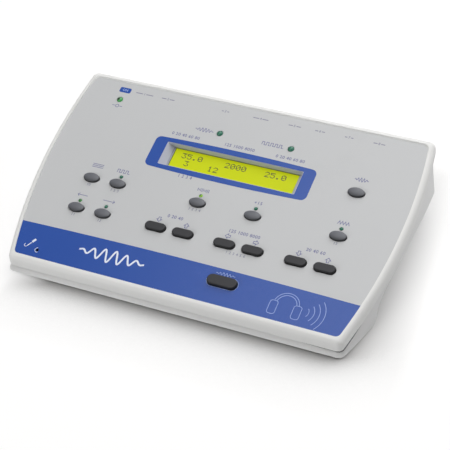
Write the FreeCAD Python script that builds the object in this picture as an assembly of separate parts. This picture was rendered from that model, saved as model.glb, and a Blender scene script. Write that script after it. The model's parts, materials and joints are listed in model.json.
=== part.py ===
"""Desktop screening audiometer: sloping key panel, character display, rear sockets.

Millimetres, +Z up, X to the right, Y to the back. The part stands on its four rubber
feet at z = 0. Shapes are worked out in two frames: the plan frame, whose origin lies on
the desk under the middle of the fascia, and the panel frame, whose origin is the middle
of the fascia with X right, Y up the slope and Z out of the panel. A depth is measured
into the case from the printed face of the fascia.
"""
import FreeCAD, Part
import os
from math import cos, hypot, pi, radians, sin, sqrt, tan

V = FreeCAD.Vector

# ---------------------------------------------------------------- panel and case
panel_slope = 17.0            # degrees the key panel leans towards the user
panel_front_height = 13.9     # front edge of the fascia above the desk
fascia_depth = 154.7          # along the slope
fascia_half_front = 117.65    # half width at the front edge
fascia_half_rear = 126.5      # half width at the rear edge
side_bow = 8.025              # how far the bowed sides swell out at their middle
fascia_corner_front = 3.5
fascia_corner_rear = 5.0
fascia_thickness = 0.4
fascia_gap = 0.15             # between the fascia and its recess
rim_height = 0.5              # how far the cover's rim stands above the fascia

cover_flank = 4.2             # how far the top cover reaches out past the fascia
cover_rear = 5.2              # the same at the rear
cover_corner_front = 5.0
cover_corner_rear = 4.9
cover_wall = 2.6
cover_plate = 2.2             # thickness of the cover under the fascia
cover_depth = 8.6             # depth of the parting line
cover_edge_radius = 3.9       # rounded upper edge
cover_tuck_radius = 2.2       # rounded lower edge at the parting line

base_flank_top = 2.6          # base outline at the parting line, past the fascia
base_flank_foot = 5.15        # base outline at its lower edge, past the fascia
base_wall = 2.2
base_floor = 2.5
lip_height = 1.6              # locating lip that enters the top cover
lip_thickness = 1.2
lip_gap = 0.2

# finger scoop under each flank, y from the front edge of the fascia, z from the desk
scoop_toe = ((24.5, 0.6), (33.0, 3.2), (37.6, 8.6))
scoop_arch = ((43.6, 13.0), (52.0, 16.8), (74.0, 21.9), (96.1, 24.1), (122.0, 23.6), (148.7, 19.3))
scoop_tail_drop = 2.6         # over the last stretch to the rear wall
scoop_tail_reach = 20.0       # past the last point of the arch
belly_inset = 12.5            # of the belly between the scoops, from the rear corners of the fascia

foot_radius = 6.0
foot_proud = 1.0
foot_seat = 1.0               # depth of the foot's seat in the base floor
foot_inset_x = 19.65          # from the front corners of the fascia
foot_inset_front = 13.97      # from the front edge of the fascia
foot_inset_rear = 9.97        # from its rear edge

# ---------------------------------------------------------------- keys and lamps
key_pitch = 20.32
key_origin = -90.85           # x of the first column of keys
key_row_upper = -6.9
key_row_lower = -32.4
key_row_talk = 28.6
present_inset = 17.05         # of the present key, from the front edge of the fascia
key_gap = 0.35                # around each cap
key_travel = 1.0
key_clear = 0.3               # kept between the moving cap and what is fixed

oval_length, oval_width, oval_height = 11.8, 6.9, 2.3
bar_length, bar_width, bar_height = 15.1, 6.4, 2.0
wide_length, wide_width, wide_height = 21.2, 7.8, 2.4
oval_wall = 1.4               # height of an oval cap where its dome begins
oval_spread = 1.25            # size of the dome's ellipsoid over the cap's
oval_edge_radius = 0.4
cap_edge_radius = 0.9
cap_flange = 0.75             # how far the cap's flange reaches under the cover
cap_flange_thickness = 1.0
stem_radius = 2.9
plunger_radius = 1.7
switch_side = 6.2
switch_height = 3.5

lamp_rise = 6.15              # small lamps above the middle of their keys
small_lamp_radius = 1.35
lamp_radius = 2.3
lamp_gap = 0.1
lamp_flange = 0.3
lamp_flange_thickness = 0.8
lamp_leg = 0.5
small_lamp_rise = 0.8         # top of its lens above the printed face
lamp_top = 1.3
power_lamp_inset_x, power_lamp_inset_q = 26.1, 15.85
present_lamp_x, response_lamp_x, status_lamp_inset = -17.05, 36.4, 26.0

# ---------------------------------------------------------------- display
window_x, window_q = 0.75, 26.3
window_half_x, window_half_q = 51.1, 9.6
window_radius = 0.8
well_depth = 4.6              # depth of the recess around the glass
well_wall = 1.4
glass_x, glass_q = 1.7, 27.7
glass_view_half_x, glass_view_half_q = 46.7, 7.9
glass_border = 2.0
glass_thickness = 2.4
frame_half_x, frame_half_q = 53.5, 12.6
frame_plate = 0.6
frame_depth = 6.0
display_board_half_x, display_board_half_q = 60.0, 18.0
display_screw_inset = 3.0     # from the edges of the display board
display_screw_radius = 1.0
display_boss_radius = 2.3
display_gap = 0.2

# ---------------------------------------------------------------- boards and screws
board_depth = 10.0            # component face of the main board
board_thickness = 1.6
board_side_inset = 7.15       # from the front corners of the fascia
board_belly_gap = 1.3         # at least this far inside the walls of the belly
board_end_inset = 10.35       # from its front and rear edges
board_corner = 4.0
board_gap = 1.5               # around the display module
screw_radius = 1.4
screw_head_radius = 2.6
screw_head_height = 1.8
thread_gap = 0.05
boss_radius = 3.4
screw_slot = 0.8              # width and depth
board_screw_inset_x, board_screw_inset_q = 3.5, 10.0
board_screw_free = ((-52.0, -20.0), (57.0, -18.0))
board_screw_right_q, board_screw_left_q = 8.0, 16.0
board_screw_rear, board_screw_front = (-60.0, 70.0), (-52.0, 76.0)
screw_reach = 1.4             # tip of a screw in its boss, below the cover's plate
pilot_reach = 0.6             # end of its pilot, the same way

case_screw_front_inset_x, case_screw_front_inset_y = 14.15, 24.97  # from the fascia's front corners
case_screw_rear_inset_x, case_screw_rear_inset_y = 23.0, 33.97     # from its rear corners
case_boss_radius = 4.3
case_screw_length = 11.0
case_sink_depth = 3.5         # the head's counterbore goes this far into the boss
case_boss_gap = 0.6           # around the boss, in the boards
ribbon_inset = 13.0           # of the socket board's ribbon, from the rear edge of the main board
ribbon_thickness = 0.5
display_ribbon_left, display_ribbon_width, display_ribbon_sag = -16.0, 24.0, 3.0
display_ribbon_lap, main_ribbon_lap, ribbon_run = 6.0, 5.0, 3.0
board_ribbon_left, board_ribbon_width = -14.0, 26.0

chip_inset = 19.0             # of the chips, from the front edge of the main board
processor_x = -72.0
processor_side, processor_height = 14.0, 1.5
chip_first_x, chip_pitch = -30.0, 20.0
chip_columns = (0, 1, 2, 4)
chip_width, chip_length, chip_height = 10.3, 7.5, 2.3
capacitor_places = ((-80.0, 20.0), (-80.0, 32.0), (-66.0, 20.0), (84.0, 20.0), (84.0, 32.0))
capacitor_radius, capacitor_height = 3.2, 7.0

# ---------------------------------------------------------------- rear sockets
bay_flank = 2.9               # rear wall of the socket bay, past the fascia
bay_inset_left, bay_inset_right = 16.0, 21.5
bay_below, bay_above = 12.5, 13.5  # the bay's edges from the axis of the sockets
bay_wall = 2.2
socket_clearance = 1.765      # between the sockets and the main board
socket_rise = 7.5             # axis of the sockets above their board
socket_board_inset_left, socket_board_inset_right = 34.5, 21.5  # from the rear corners of the fascia
socket_board_depth = 36.0
socket_screws_left, socket_screws_right = (41.5, 83.5), (31.5, 43.7)  # front and rear, the same way
socket_screw_front_inset, socket_screw_rear_inset = 4.5, 12.0
socket_screw_length = 9.0
socket_gap = 0.15             # around what passes through the rear wall

# places along the row: the first three from the left rear corner of the fascia, the others
# from the right one
rocker_inset, response_inset, inlet_inset = 26.7, 42.1, 60.8
usb_inset, printer_inset = 147.2, 120.15
insert_inset, bone_inset, left_inset, right_inset = 94.7, 76.2, 54.4, 32.9

jack_bore_radius = 3.2
jack_barrel_radius = 4.5
jack_reach = 4.0              # past the wall of the bay
jack_body_width, jack_body_height, jack_body_depth = 14.6, 13.0, 26.0
jack_bore_depth = 24.0
nut_flats = 12.0
nut_height = 2.4

inlet_width, inlet_height, inlet_depth = 11.0, 11.0, 14.0
inlet_bore_radius, inlet_bore_depth = 2.85, 9.5
inlet_pin_radius = 1.0
inlet_collar_radius, inlet_reach = 4.6, 0.8

usb_width, usb_height, usb_depth = 12.0, 10.8, 16.0
usb_mouth_width, usb_mouth_height, usb_mouth_depth = 8.5, 7.8, 9.0
usb_tongue_width, usb_tongue_height = 5.6, 3.2
usb_corner = 1.8

printer_ear = 2.9             # the flange past the middle of its screw holes
printer_flange_height, printer_flange_thickness = 12.6, 1.0
printer_shell_width, printer_shell_height, printer_reach = 16.4, 8.0, 3.0
printer_slant = 1.4
printer_body_width, printer_body_depth = 19.0, 9.0
printer_pin_pitch, printer_row_pitch = 2.77, 2.84
printer_pin_radius, printer_pin_depth = 0.55, 5.0
printer_screw_spacing = 25.0
printer_post_flats, printer_post_height = 4.8, 4.0

rocker_flange_width, rocker_flange_height, rocker_flange_thickness = 15.0, 21.0, 1.6
rocker_body_width, rocker_body_height, rocker_body_depth = 12.8, 18.8, 16.0
rocker_width, rocker_height = 10.0, 15.6
rocker_side_gap = 0.3
rocker_end_gap = 0.7
rocker_pocket_depth = 8.0
rocker_pivot_inset = 0.4
rocker_pin_radius, rocker_pin_length = 1.0, 0.9
rocker_pin_gap = 0.06
rocker_tilt = 7.0             # degrees to each side of the middle

# ---------------------------------------------------------------- microphone
mic_inset_x, mic_inset_q = 15.15, 5.95
mic_hole_radius = 1.1
mic_radius, mic_height = 3.0, 3.0
mic_boot_wall = 1.0

# ---------------------------------------------------------------- derived
slope = radians(panel_slope)
half_plan = fascia_depth / 2 * cos(slope)
fascia_half_middle = (fascia_half_front + fascia_half_rear) / 2 + side_bow
panel_centre_z = panel_front_height + half_plan * tan(slope)
rear_reach = bay_flank + jack_reach
y_shift = (base_flank_foot - rear_reach) / 2
bay_y = half_plan + bay_flank
bay_inner_y = bay_y - bay_wall
floor_top = foot_proud + base_floor
under_plate = fascia_thickness + cover_plate
board_back = board_depth + board_thickness
socket_front_y = bay_inner_y - jack_body_depth
socket_height = panel_centre_z + socket_front_y * tan(slope) - board_back / cos(slope) \
    - socket_clearance - jack_body_height / 2
socket_board_top = socket_height - socket_rise
bay_left, bay_right = bay_inset_left - fascia_half_rear, fascia_half_rear - bay_inset_right
bay_bottom, bay_top = socket_height - bay_below, socket_height + bay_above
belly_half = fascia_half_rear - belly_inset
foot_x = fascia_half_front - foot_inset_x
foot_front_y, foot_rear_y = foot_inset_front - half_plan, half_plan - foot_inset_rear
case_screw_front_x = fascia_half_front - case_screw_front_inset_x
case_screw_front_y = case_screw_front_inset_y - half_plan
case_screw_rear_x = fascia_half_rear - case_screw_rear_inset_x
case_screw_rear_y = half_plan - case_screw_rear_inset_y
key_row_present = present_inset - fascia_depth / 2
power_lamp_x = power_lamp_inset_x - fascia_half_rear
power_lamp_q = fascia_depth / 2 - power_lamp_inset_q
status_lamp_q = fascia_depth / 2 - status_lamp_inset
mic_x, mic_q = mic_inset_x - fascia_half_front, mic_inset_q - fascia_depth / 2
display_screw_x = display_board_half_x - display_screw_inset
display_screw_q = display_board_half_q - display_screw_inset
board_half_x = min(fascia_half_front - board_side_inset, belly_half - base_wall - board_belly_gap)
board_half_q = fascia_depth / 2 - board_end_inset
board_screw_row = board_half_q - board_screw_inset_q
chip_q = chip_inset - board_half_q
printer_flange_width = printer_screw_spacing + 2 * printer_ear
rocker_x, inlet_x = rocker_inset - fascia_half_rear, inlet_inset - fascia_half_rear
usb_x, printer_x = fascia_half_rear - usb_inset, fascia_half_rear - printer_inset
jack_places = (("response_jack", response_inset - fascia_half_rear),
               ("insert_jack", fascia_half_rear - insert_inset), ("bone_jack", fascia_half_rear - bone_inset),
               ("left_jack", fascia_half_rear - left_inset), ("right_jack", fascia_half_rear - right_inset))
socket_board_left = socket_board_inset_left - fascia_half_rear
socket_board_right = fascia_half_rear - socket_board_inset_right
big = 400.0


def board_screw_places():
    """(x, q) of the eight screws of the main board."""
    column = board_half_x - board_screw_inset_x
    sides = [(column, board_screw_right_q), (-column, board_screw_left_q)]
    rear = [(x, board_screw_row) for x in board_screw_rear]
    front = [(x, -board_screw_row) for x in board_screw_front]
    return list(board_screw_free) + rear + front + sides


def key_column(number):
    """x of a column of keys, counted from the left."""
    return key_origin + key_pitch * number


ovals = (("menu_button", key_column(0), key_row_upper), ("pulse_button", key_column(1), key_row_upper),
         ("left_button", key_column(0), key_row_lower), ("right_button", key_column(1), key_row_lower),
         ("mask_button", key_column(4), key_row_upper), ("boost_button", key_column(6), key_row_upper),
         ("bone_button", key_column(9), key_row_upper), ("talkover_button", key_column(9), key_row_talk))
bars = (("signal_down_button", key_column(3), key_row_lower),
        ("signal_up_button", key_column(4), key_row_lower),
        ("frequency_down_button", key_column(5.5), key_row_lower),
        ("frequency_up_button", key_column(6.5), key_row_lower),
        ("masking_down_button", key_column(8), key_row_lower),
        ("masking_up_button", key_column(9), key_row_lower))
wides = (("present_button", key_column(6), key_row_present),)
small_lamps = (("pulse_lamp", key_column(1), key_row_upper), ("left_lamp", key_column(0), key_row_lower),
               ("right_lamp", key_column(1), key_row_lower), ("mask_lamp", key_column(4), key_row_upper),
               ("boost_lamp", key_column(6), key_row_upper), ("bone_lamp", key_column(9), key_row_upper))
large_lamps = (("power_lamp", power_lamp_x, power_lamp_q), ("present_lamp", present_lamp_x, status_lamp_q),
               ("response_lamp", response_lamp_x, status_lamp_q))


# ---------------------------------------------------------------- frames
def from_panel(shape):
    """Panel frame to plan frame."""
    placed = shape.copy()
    lean = FreeCAD.Placement(V(0, 0, panel_centre_z), FreeCAD.Rotation(V(1, 0, 0), panel_slope))
    placed.Placement = lean.multiply(placed.Placement)
    return placed


def plane_height(y, depth):
    """Height above the desk of a plane at this depth below the printed face."""
    return panel_centre_z + y * tan(slope) - depth / cos(slope)


def slab(depth_top, depth_bottom):
    """Everything between two depths."""
    block = Part.makeBox(big, big, depth_bottom - depth_top, V(-big / 2, -big / 2, -depth_bottom))
    return from_panel(block)


def box(x, y, z, width, depth, height):
    """Box centred on x and y, standing on z."""
    return Part.makeBox(width, depth, height, V(x - width / 2, y - depth / 2, z))


def rod(x, q, radius, depth_top, depth_bottom):
    """Round post in the panel frame, square to the panel."""
    return Part.makeCylinder(radius, depth_bottom - depth_top, V(x, q, -depth_bottom), V(0, 0, 1))


def post(x, y, radius, bottom, top):
    """Round upright post in the plan frame."""
    return Part.makeCylinder(radius, top - bottom, V(x, y, bottom), V(0, 0, 1))


# ---------------------------------------------------------------- case outline
def side_circle():
    """Centre and radius of the bowed right side, in plan."""
    ax, ay = fascia_half_front, -half_plan
    mx, my = fascia_half_middle, 0.0
    bx, by = fascia_half_rear, half_plan
    d = 2 * (ax * (my - by) + mx * (by - ay) + bx * (ay - my))
    sa, sm, sb = ax * ax + ay * ay, mx * mx + my * my, bx * bx + by * by
    cx = (sa * (my - by) + sm * (by - ay) + sb * (ay - my)) / d
    cy = (sa * (bx - mx) + sm * (ax - bx) + sb * (mx - ax)) / d
    return cx, cy, hypot(ax - cx, ay - cy)


def outline(reach, rear=None, z=0.0):
    """Closed plan outline of the fascia, grown by reach, and by rear at the back, at height z."""
    cx, cy, radius = side_circle()
    radius += reach
    rear = reach if rear is None else rear
    share = reach / cover_flank
    front_corner = fascia_corner_front + share * (cover_corner_front - fascia_corner_front)
    rear_corner = fascia_corner_rear + share * (cover_corner_rear - fascia_corner_rear)

    def corner(corner_radius, half, sign):
        y = sign * (half - corner_radius)
        x = cx + sqrt((radius - corner_radius) ** 2 - (y - cy) ** 2)
        length = hypot(x - cx, y - cy)
        ux, uy = (x - cx) / length, (y - cy) / length
        mx, my = ux, uy + sign
        mean = hypot(mx, my)
        on_line = V(x, sign * half, z)
        middle = V(x + corner_radius * mx / mean, y + corner_radius * my / mean, z)
        on_side = V(x + corner_radius * ux, y + corner_radius * uy, z)
        return on_line, middle, on_side

    def mirror(point):
        return V(-point.x, point.y, point.z)

    fl, fm, fs = corner(front_corner, half_plan + reach, -1)
    rl, rm, rs = corner(rear_corner, half_plan + rear, 1)
    bulge = V(cx + sqrt(radius ** 2 - cy ** 2), 0, z)
    edges = [Part.LineSegment(mirror(fl), fl), Part.Arc(fl, fm, fs), Part.Arc(fs, bulge, rs),
             Part.Arc(rs, rm, rl), Part.LineSegment(rl, mirror(rl)),
             Part.Arc(mirror(rl), mirror(rm), mirror(rs)),
             Part.Arc(mirror(rs), mirror(bulge), mirror(fs)),
             Part.Arc(mirror(fs), mirror(fm), mirror(fl))]
    return Part.Wire([edge.toShape() for edge in edges])


def prism(reach, rear=None):
    """Upright prism on the outline, from the desk up."""
    return Part.Face(outline(reach, rear)).extrude(V(0, 0, big))


def cover_prism(inset):
    """Upright prism on the cover's outer outline, shrunk by inset."""
    return prism(cover_flank - inset, cover_rear - inset)


def tilted_outline(reach, depth):
    """The outline laid on the plane at this depth."""
    lift = FreeCAD.Matrix(1, 0, 0, 0, 0, 1, 0, 0, 0, tan(slope), 1, plane_height(0, depth), 0, 0, 0, 1)
    return outline(reach).transformGeometry(lift)


def flared(reach_foot, reach_top, bottom, depth):
    """Body between a level outline below and a tilted one above."""
    return Part.makeLoft([outline(reach_foot, z=bottom), tilted_outline(reach_top, depth)], True, True)


def ring_edges(shape, depth):
    """The edges of shape that follow the cover's outline in the plane at this depth."""
    found = []
    inner = cover_prism(0.5)
    for edge in shape.Edges:
        ends = [edge.valueAt(edge.FirstParameter + f * (edge.LastParameter - edge.FirstParameter))
                for f in (0.0, 0.5, 1.0)]
        level = all(abs(p.z - plane_height(p.y, depth)) < 0.01 for p in ends)
        if level and not inner.isInside(ends[1], 0.01, True):
            found.append(edge)
    return found


# ---------------------------------------------------------------- key shapes
def oval_face(grow):
    ellipse = Part.Ellipse(V(0, 0, 0), oval_length / 2 + grow, oval_width / 2 + grow)
    return Part.Face(Part.Wire(ellipse.toShape()))


def stadium_face(length, width, grow):
    r = width / 2 + grow
    half = (length - width) / 2
    edges = [Part.LineSegment(V(-half, -r, 0), V(half, -r, 0)),
             Part.Arc(V(half, -r, 0), V(half + r, 0, 0), V(half, r, 0)),
             Part.LineSegment(V(half, r, 0), V(-half, r, 0)),
             Part.Arc(V(-half, r, 0), V(-half - r, 0, 0), V(-half, -r, 0))]
    return Part.Face(Part.Wire([edge.toShape() for edge in edges]))


def oval_cap(height, foot):
    """Oval key: upright wall with a domed top, from the depth foot up to height."""
    share = sqrt(1 - 1 / oval_spread ** 2)
    rise = (height - oval_wall) / (1 - share)
    scale = FreeCAD.Matrix()
    scale.scale(oval_spread * oval_length / 2, oval_spread * oval_width / 2, rise)
    ball = Part.makeSphere(1.0).transformGeometry(scale)
    ball.translate(V(0, 0, height - rise))
    side = 2 * oval_spread * oval_length
    outside = box(0, 0, height - rise, side, side, 2 * rise).cut(ball)
    cap = oval_face(0.0).extrude(V(0, 0, foot + height + rise / 2))
    cap.translate(V(0, 0, -foot))
    cap = cap.cut(outside)
    brow = [edge for edge in cap.Edges
            if edge.BoundBox.ZMin > oval_wall - 0.1 and edge.BoundBox.ZMax < oval_wall + 0.1]
    return cap.makeFillet(oval_edge_radius, brow)


def bar_face(grow):
    return stadium_face(bar_length, bar_width, grow)


def wide_face(grow):
    return stadium_face(wide_length, wide_width, grow)


key_kinds = ((ovals, oval_face, oval_height), (bars, bar_face, bar_height), (wides, wide_face, wide_height))


def key_stack():
    """Depths of the key parts, from the switch on the board upwards."""
    body_top = board_depth - switch_height
    flange_top = under_plate + key_clear
    flange_bottom = flange_top + cap_flange_thickness
    stem_bottom = body_top - key_travel - key_clear
    bore_top = flange_bottom - cap_flange_thickness / 4
    plunger_top = bore_top + key_travel + key_clear
    return body_top, flange_top, flange_bottom, stem_bottom, bore_top, plunger_top


def flat_cap(face, height, foot):
    """Bar key: flat top with a rounded edge, from the depth foot up to height."""
    cap = face(0.0).extrude(V(0, 0, height + foot))
    cap.translate(V(0, 0, -foot))
    crown = [edge for edge in cap.Edges if edge.BoundBox.ZMin > height - 0.01]
    return cap.makeFillet(cap_edge_radius, crown)


def make_cap(face, height, x, q):
    """Key cap with its retaining flange and a hollow stem over the switch's plunger."""
    body_top, flange_top, flange_bottom, stem_bottom, bore_top, plunger_top = key_stack()
    cap = oval_cap(height, flange_top) if face is oval_face else flat_cap(face, height, flange_top)
    flange = face(cap_flange).extrude(V(0, 0, cap_flange_thickness))
    flange.translate(V(0, 0, -flange_bottom))
    stem = rod(0, 0, stem_radius, flange_bottom - cap_flange_thickness / 2, stem_bottom)
    bore = rod(0, 0, plunger_radius + key_clear, bore_top, stem_bottom + 1)
    cap = cap.fuse([flange, stem]).removeSplitter().cut(bore)
    cap.translate(V(x, q, 0))
    return from_panel(cap)


def make_switch(x, q):
    """Tactile switch that stands on the main board."""
    body_top, flange_top, flange_bottom, stem_bottom, bore_top, plunger_top = key_stack()
    body = box(x, q, -board_depth, switch_side, switch_side, switch_height)
    plunger = rod(x, q, plunger_radius, plunger_top, body_top)
    return from_panel(body.fuse(plunger).removeSplitter())


def make_lamp(radius, rise, x, q):
    """Lamp with a domed lens, a flange and two legs that stand on the main board."""
    base = under_plate + radius
    barrel = rod(x, q, radius, radius - rise, base)
    dome = Part.makeSphere(radius, V(x, q, rise - radius))
    flange = rod(x, q, radius + lamp_flange, base - lamp_flange_thickness, base)
    legs = [box(x + side * radius / 2, q, -board_depth, lamp_leg, lamp_leg, board_depth - base)
            for side in (-1, 1)]
    return from_panel(barrel.fuse([dome, flange] + legs).removeSplitter())


def openings_through_panel(grow_keys, grow_lamps, top, bottom):
    """Cutters for the keys, lamps and microphone through the cover and the fascia."""
    cutters = []
    for keys, face, height in key_kinds:
        for name, x, q in keys:
            hole = face(grow_keys).extrude(V(0, 0, bottom - top))
            hole.translate(V(x, q, -bottom))
            cutters.append(hole)
    for name, x, q in small_lamps:
        cutters.append(rod(x, q + lamp_rise, small_lamp_radius + grow_lamps, top, bottom))
    for name, x, q in large_lamps:
        cutters.append(rod(x, q, lamp_radius + grow_lamps, top, bottom))
    cutters.append(rod(mic_x, mic_q, mic_hole_radius, top, bottom))
    return [from_panel(cutter) for cutter in cutters]


def window_block(grow, top, bottom):
    """Rounded block on the display window."""
    block = box(window_x, window_q, -bottom, 2 * (window_half_x + grow), 2 * (window_half_q + grow),
                bottom - top)
    upright = [edge for edge in block.Edges if abs(edge.tangentAt(edge.FirstParameter).z) > 0.9]
    return from_panel(block.makeFillet(window_radius + max(grow, 0), upright))


# ---------------------------------------------------------------- bosses
def case_places():
    rows = ((case_screw_front_x, case_screw_front_y), (case_screw_rear_x, case_screw_rear_y))
    return [(side * x, y) for x, y in rows for side in (-1, 1)]


def case_meeting(y):
    """Height where the base boss meets the cover boss."""
    return plane_height(y, cover_depth)


def case_head_seat(y):
    """Height of the shoulder that a case screw's head bears on."""
    return case_meeting(y) - case_sink_depth if y > 0 else foot_proud + case_sink_depth


def socket_screw_places():
    rows = (bay_inner_y - socket_board_depth + socket_screw_front_inset, bay_inner_y - socket_screw_rear_inset)
    left = [(inset - fascia_half_rear, y) for inset, y in zip(socket_screws_left, rows)]
    right = [(fascia_half_rear - inset, y) for inset, y in zip(socket_screws_right, rows)]
    return left[:1] + right[:1] + left[1:] + right[1:]


# ---------------------------------------------------------------- case
def make_top_cover():
    shell = cover_prism(0).common(slab(-rim_height, cover_depth))
    shell = shell.makeFillet(cover_edge_radius, ring_edges(shell, -rim_height))
    shell = shell.makeFillet(cover_tuck_radius, ring_edges(shell, cover_depth))
    cavity = cover_prism(cover_wall).common(slab(under_plate, cover_depth + 1))
    recess = prism(fascia_gap).common(slab(-rim_height - 1, fascia_thickness))
    shell = shell.cut([cavity, recess])
    inside = cover_prism(cover_wall + 0.1).common(slab(under_plate - 0.2, cover_depth * 2))
    bosses = [from_panel(rod(x, q, boss_radius, under_plate - 0.2, board_depth))
              for x, q in board_screw_places()]
    bosses += [from_panel(rod(glass_x + sx * display_screw_x, glass_q + sq * display_screw_q,
                              display_boss_radius, under_plate - 0.2, display_board_top()))
               for sx in (-1, 1) for sq in (-1, 1)]
    case_bosses = []
    for x, y in case_places():
        column = post(x, y, case_boss_radius, case_meeting(y), big / 4)
        case_bosses.append(column.common(inside))
    well = window_block(well_wall, under_plate - 0.2, well_depth)
    shell = shell.fuse(bosses + case_bosses + [well]).removeSplitter()
    pilots = [from_panel(rod(x, q, screw_radius + thread_gap, under_plate + pilot_reach, board_depth + 1))
              for x, q in board_screw_places()]
    pilots += [from_panel(rod(glass_x + sx * display_screw_x, glass_q + sq * display_screw_q,
                              display_screw_radius + thread_gap, under_plate + pilot_reach, board_depth + 3))
               for sx in (-1, 1) for sq in (-1, 1)]
    pilots += [post(x, y, screw_radius + thread_gap, case_meeting(y) - 1, plane_height(y, under_plate) - 0.8)
               for x, y in case_places()]
    through = openings_through_panel(key_gap, lamp_gap, -1, well_depth + 1)
    window = window_block(0, -1, well_depth + 1)
    return shell.cut(pilots + through + [window])


def make_fascia():
    sheet = prism(0).common(slab(0, fascia_thickness))
    window = window_block(0, -1, 1)
    return sheet.cut(openings_through_panel(key_gap, lamp_gap, -1, 1) + [window])


def scoop(side, grow):
    """Space under one flank, grown by a wall when it is taken from the cavity."""
    def at(y, z):
        return V(belly_half - grow, y - half_plan - 0.6 * grow, z + grow)

    toe = [at(y, z) for y, z in scoop_toe]
    arch = [toe[-1]] + [at(y, z) for y, z in scoop_arch]
    tail_y, tail_z = scoop_arch[-1]
    end = at(tail_y + scoop_tail_reach, tail_z - scoop_tail_drop)
    front, below = V(toe[0].x, toe[0].y, -1), V(end.x, end.y, -1)
    rise = Part.BSplineCurve()
    rise.interpolate(arch)
    edges = [Part.LineSegment(front, toe[0]), Part.Arc(*toe), rise, Part.LineSegment(arch[-1], end),
             Part.LineSegment(end, below), Part.LineSegment(below, front)]
    space = Part.Face(Part.Wire([edge.toShape() for edge in edges])).extrude(V(big / 4, 0, 0))
    if side < 0:
        space = space.mirror(V(0, 0, 0), V(1, 0, 0))
    return space


def make_base():
    body = flared(base_flank_foot, base_flank_top, foot_proud, cover_depth)
    cavity = flared(base_flank_foot - base_wall, base_flank_top - base_wall, floor_top, cover_depth - 2)
    cavity = cavity.cut([scoop(side, base_wall) for side in (-1, 1)])
    cavity = cavity.common(Part.makeBox(big, big / 2 + bay_inner_y, big, V(-big / 2, -big / 2, 0)))
    bay = Part.makeBox(bay_right - bay_left, big / 4, bay_top - bay_bottom, V(bay_left, bay_y, bay_bottom))
    shell = body.cut([scoop(side, 0) for side in (-1, 1)] + [cavity, bay])
    lip = cover_prism(cover_wall + lip_gap).common(slab(cover_depth - lip_height, cover_depth + 1))
    lip = lip.cut(cover_prism(cover_wall + lip_gap + lip_thickness))
    lip = lip.common(prism(base_flank_top - 0.2))
    bosses = [post(x, y, case_boss_radius, floor_top - 0.2, case_meeting(y)) for x, y in case_places()]
    bosses += [post(x, y, boss_radius, floor_top - 0.2, socket_board_top - board_thickness)
               for x, y in socket_screw_places()]
    shell = shell.fuse([lip] + bosses).removeSplitter()
    cutters = []
    for x, y in case_places():
        cutters.append(post(x, y, screw_head_radius + 0.4, 0, case_head_seat(y)))
        cutters.append(post(x, y, screw_radius + 0.3, 0, case_meeting(y) + 1))
    for x, y in socket_screw_places():
        cutters.append(post(x, y, screw_radius + thread_gap, socket_board_top - socket_screw_length - 3,
                            socket_board_top))
    for x, y in foot_places():
        cutters.append(post(x, y, foot_radius, 0, foot_proud + foot_seat))
    cutters += rear_cutters()
    return shell.cut(cutters)


def foot_places():
    return [(side * foot_x, y) for y in (foot_front_y, foot_rear_y) for side in (-1, 1)]


def make_feet():
    feet = []
    for x, y in foot_places():
        foot = post(x, y, foot_radius, 0, foot_proud + foot_seat)
        rim = [edge for edge in foot.Edges if edge.BoundBox.ZMax < 0.01]
        feet.append(foot.makeFillet(foot_proud / 2, rim))
    return Part.Compound(feet)


# ---------------------------------------------------------------- display
def make_display_frame():
    top = well_depth + display_gap
    block = box(glass_x, glass_q, -(top + frame_depth), 2 * frame_half_x, 2 * frame_half_q, frame_depth)
    pocket = box(glass_x, glass_q, -(top + frame_depth) - 1, 2 * (frame_half_x - frame_plate),
                 2 * (frame_half_q - frame_plate), frame_depth - frame_plate + 1)
    view = box(glass_x, glass_q, -top - 2, 2 * glass_view_half_x, 2 * glass_view_half_q, 4)
    return from_panel(block.cut([pocket, view]))


def make_display_glass():
    top = well_depth + display_gap + frame_plate
    return from_panel(box(glass_x, glass_q, -top - glass_thickness, 2 * (glass_view_half_x + glass_border),
                          2 * (glass_view_half_q + glass_border), glass_thickness))


def display_board_top():
    return well_depth + display_gap + frame_depth


def make_display_board():
    top = display_board_top()
    board = box(glass_x, glass_q, -top - board_thickness, 2 * display_board_half_x, 2 * display_board_half_q,
                board_thickness)
    holes = [rod(glass_x + sx * display_screw_x, glass_q + sq * display_screw_q, screw_radius,
                 top - 1, top + board_thickness + 1) for sx in (-1, 1) for sq in (-1, 1)]
    return from_panel(board.cut(holes))


def make_screw(x, q, radius, depth_top, seat):
    """Screw driven into the cover from below; its head bears on the seat."""
    shank = rod(x, q, radius, depth_top, seat)
    head = rod(x, q, screw_head_radius, seat, seat + screw_head_height)
    slot = box(x, q, -seat - screw_head_height - 0.1, 2 * screw_head_radius + 1, screw_slot, screw_slot)
    return from_panel(shank.fuse(head).cut(slot))


def make_display_screws():
    seat = display_board_top() + board_thickness
    return Part.Compound([make_screw(glass_x + sx * display_screw_x, glass_q + sq * display_screw_q,
                                     display_screw_radius, under_plate + screw_reach, seat)
                          for sx in (-1, 1) for sq in (-1, 1)])


# ---------------------------------------------------------------- boards
def make_main_board():
    board = box(0, 0, -board_depth - board_thickness, 2 * board_half_x, 2 * board_half_q, board_thickness)
    upright = [edge for edge in board.Edges if abs(edge.tangentAt(edge.FirstParameter).z) > 0.9]
    board = board.makeFillet(board_corner, upright)
    bay = box(glass_x, glass_q, -board_depth - board_thickness - 1, 2 * (display_board_half_x + board_gap),
              2 * (display_board_half_q + board_gap), board_thickness + 2)
    holes = [rod(x, q, screw_radius + 0.2, board_depth - 1, board_depth + board_thickness + 1)
             for x, q in board_screw_places()]
    board = from_panel(board.cut([bay] + holes))
    return board.cut([post(x, y, case_boss_radius + case_boss_gap, 0, big / 4) for x, y in case_places()])


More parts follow.
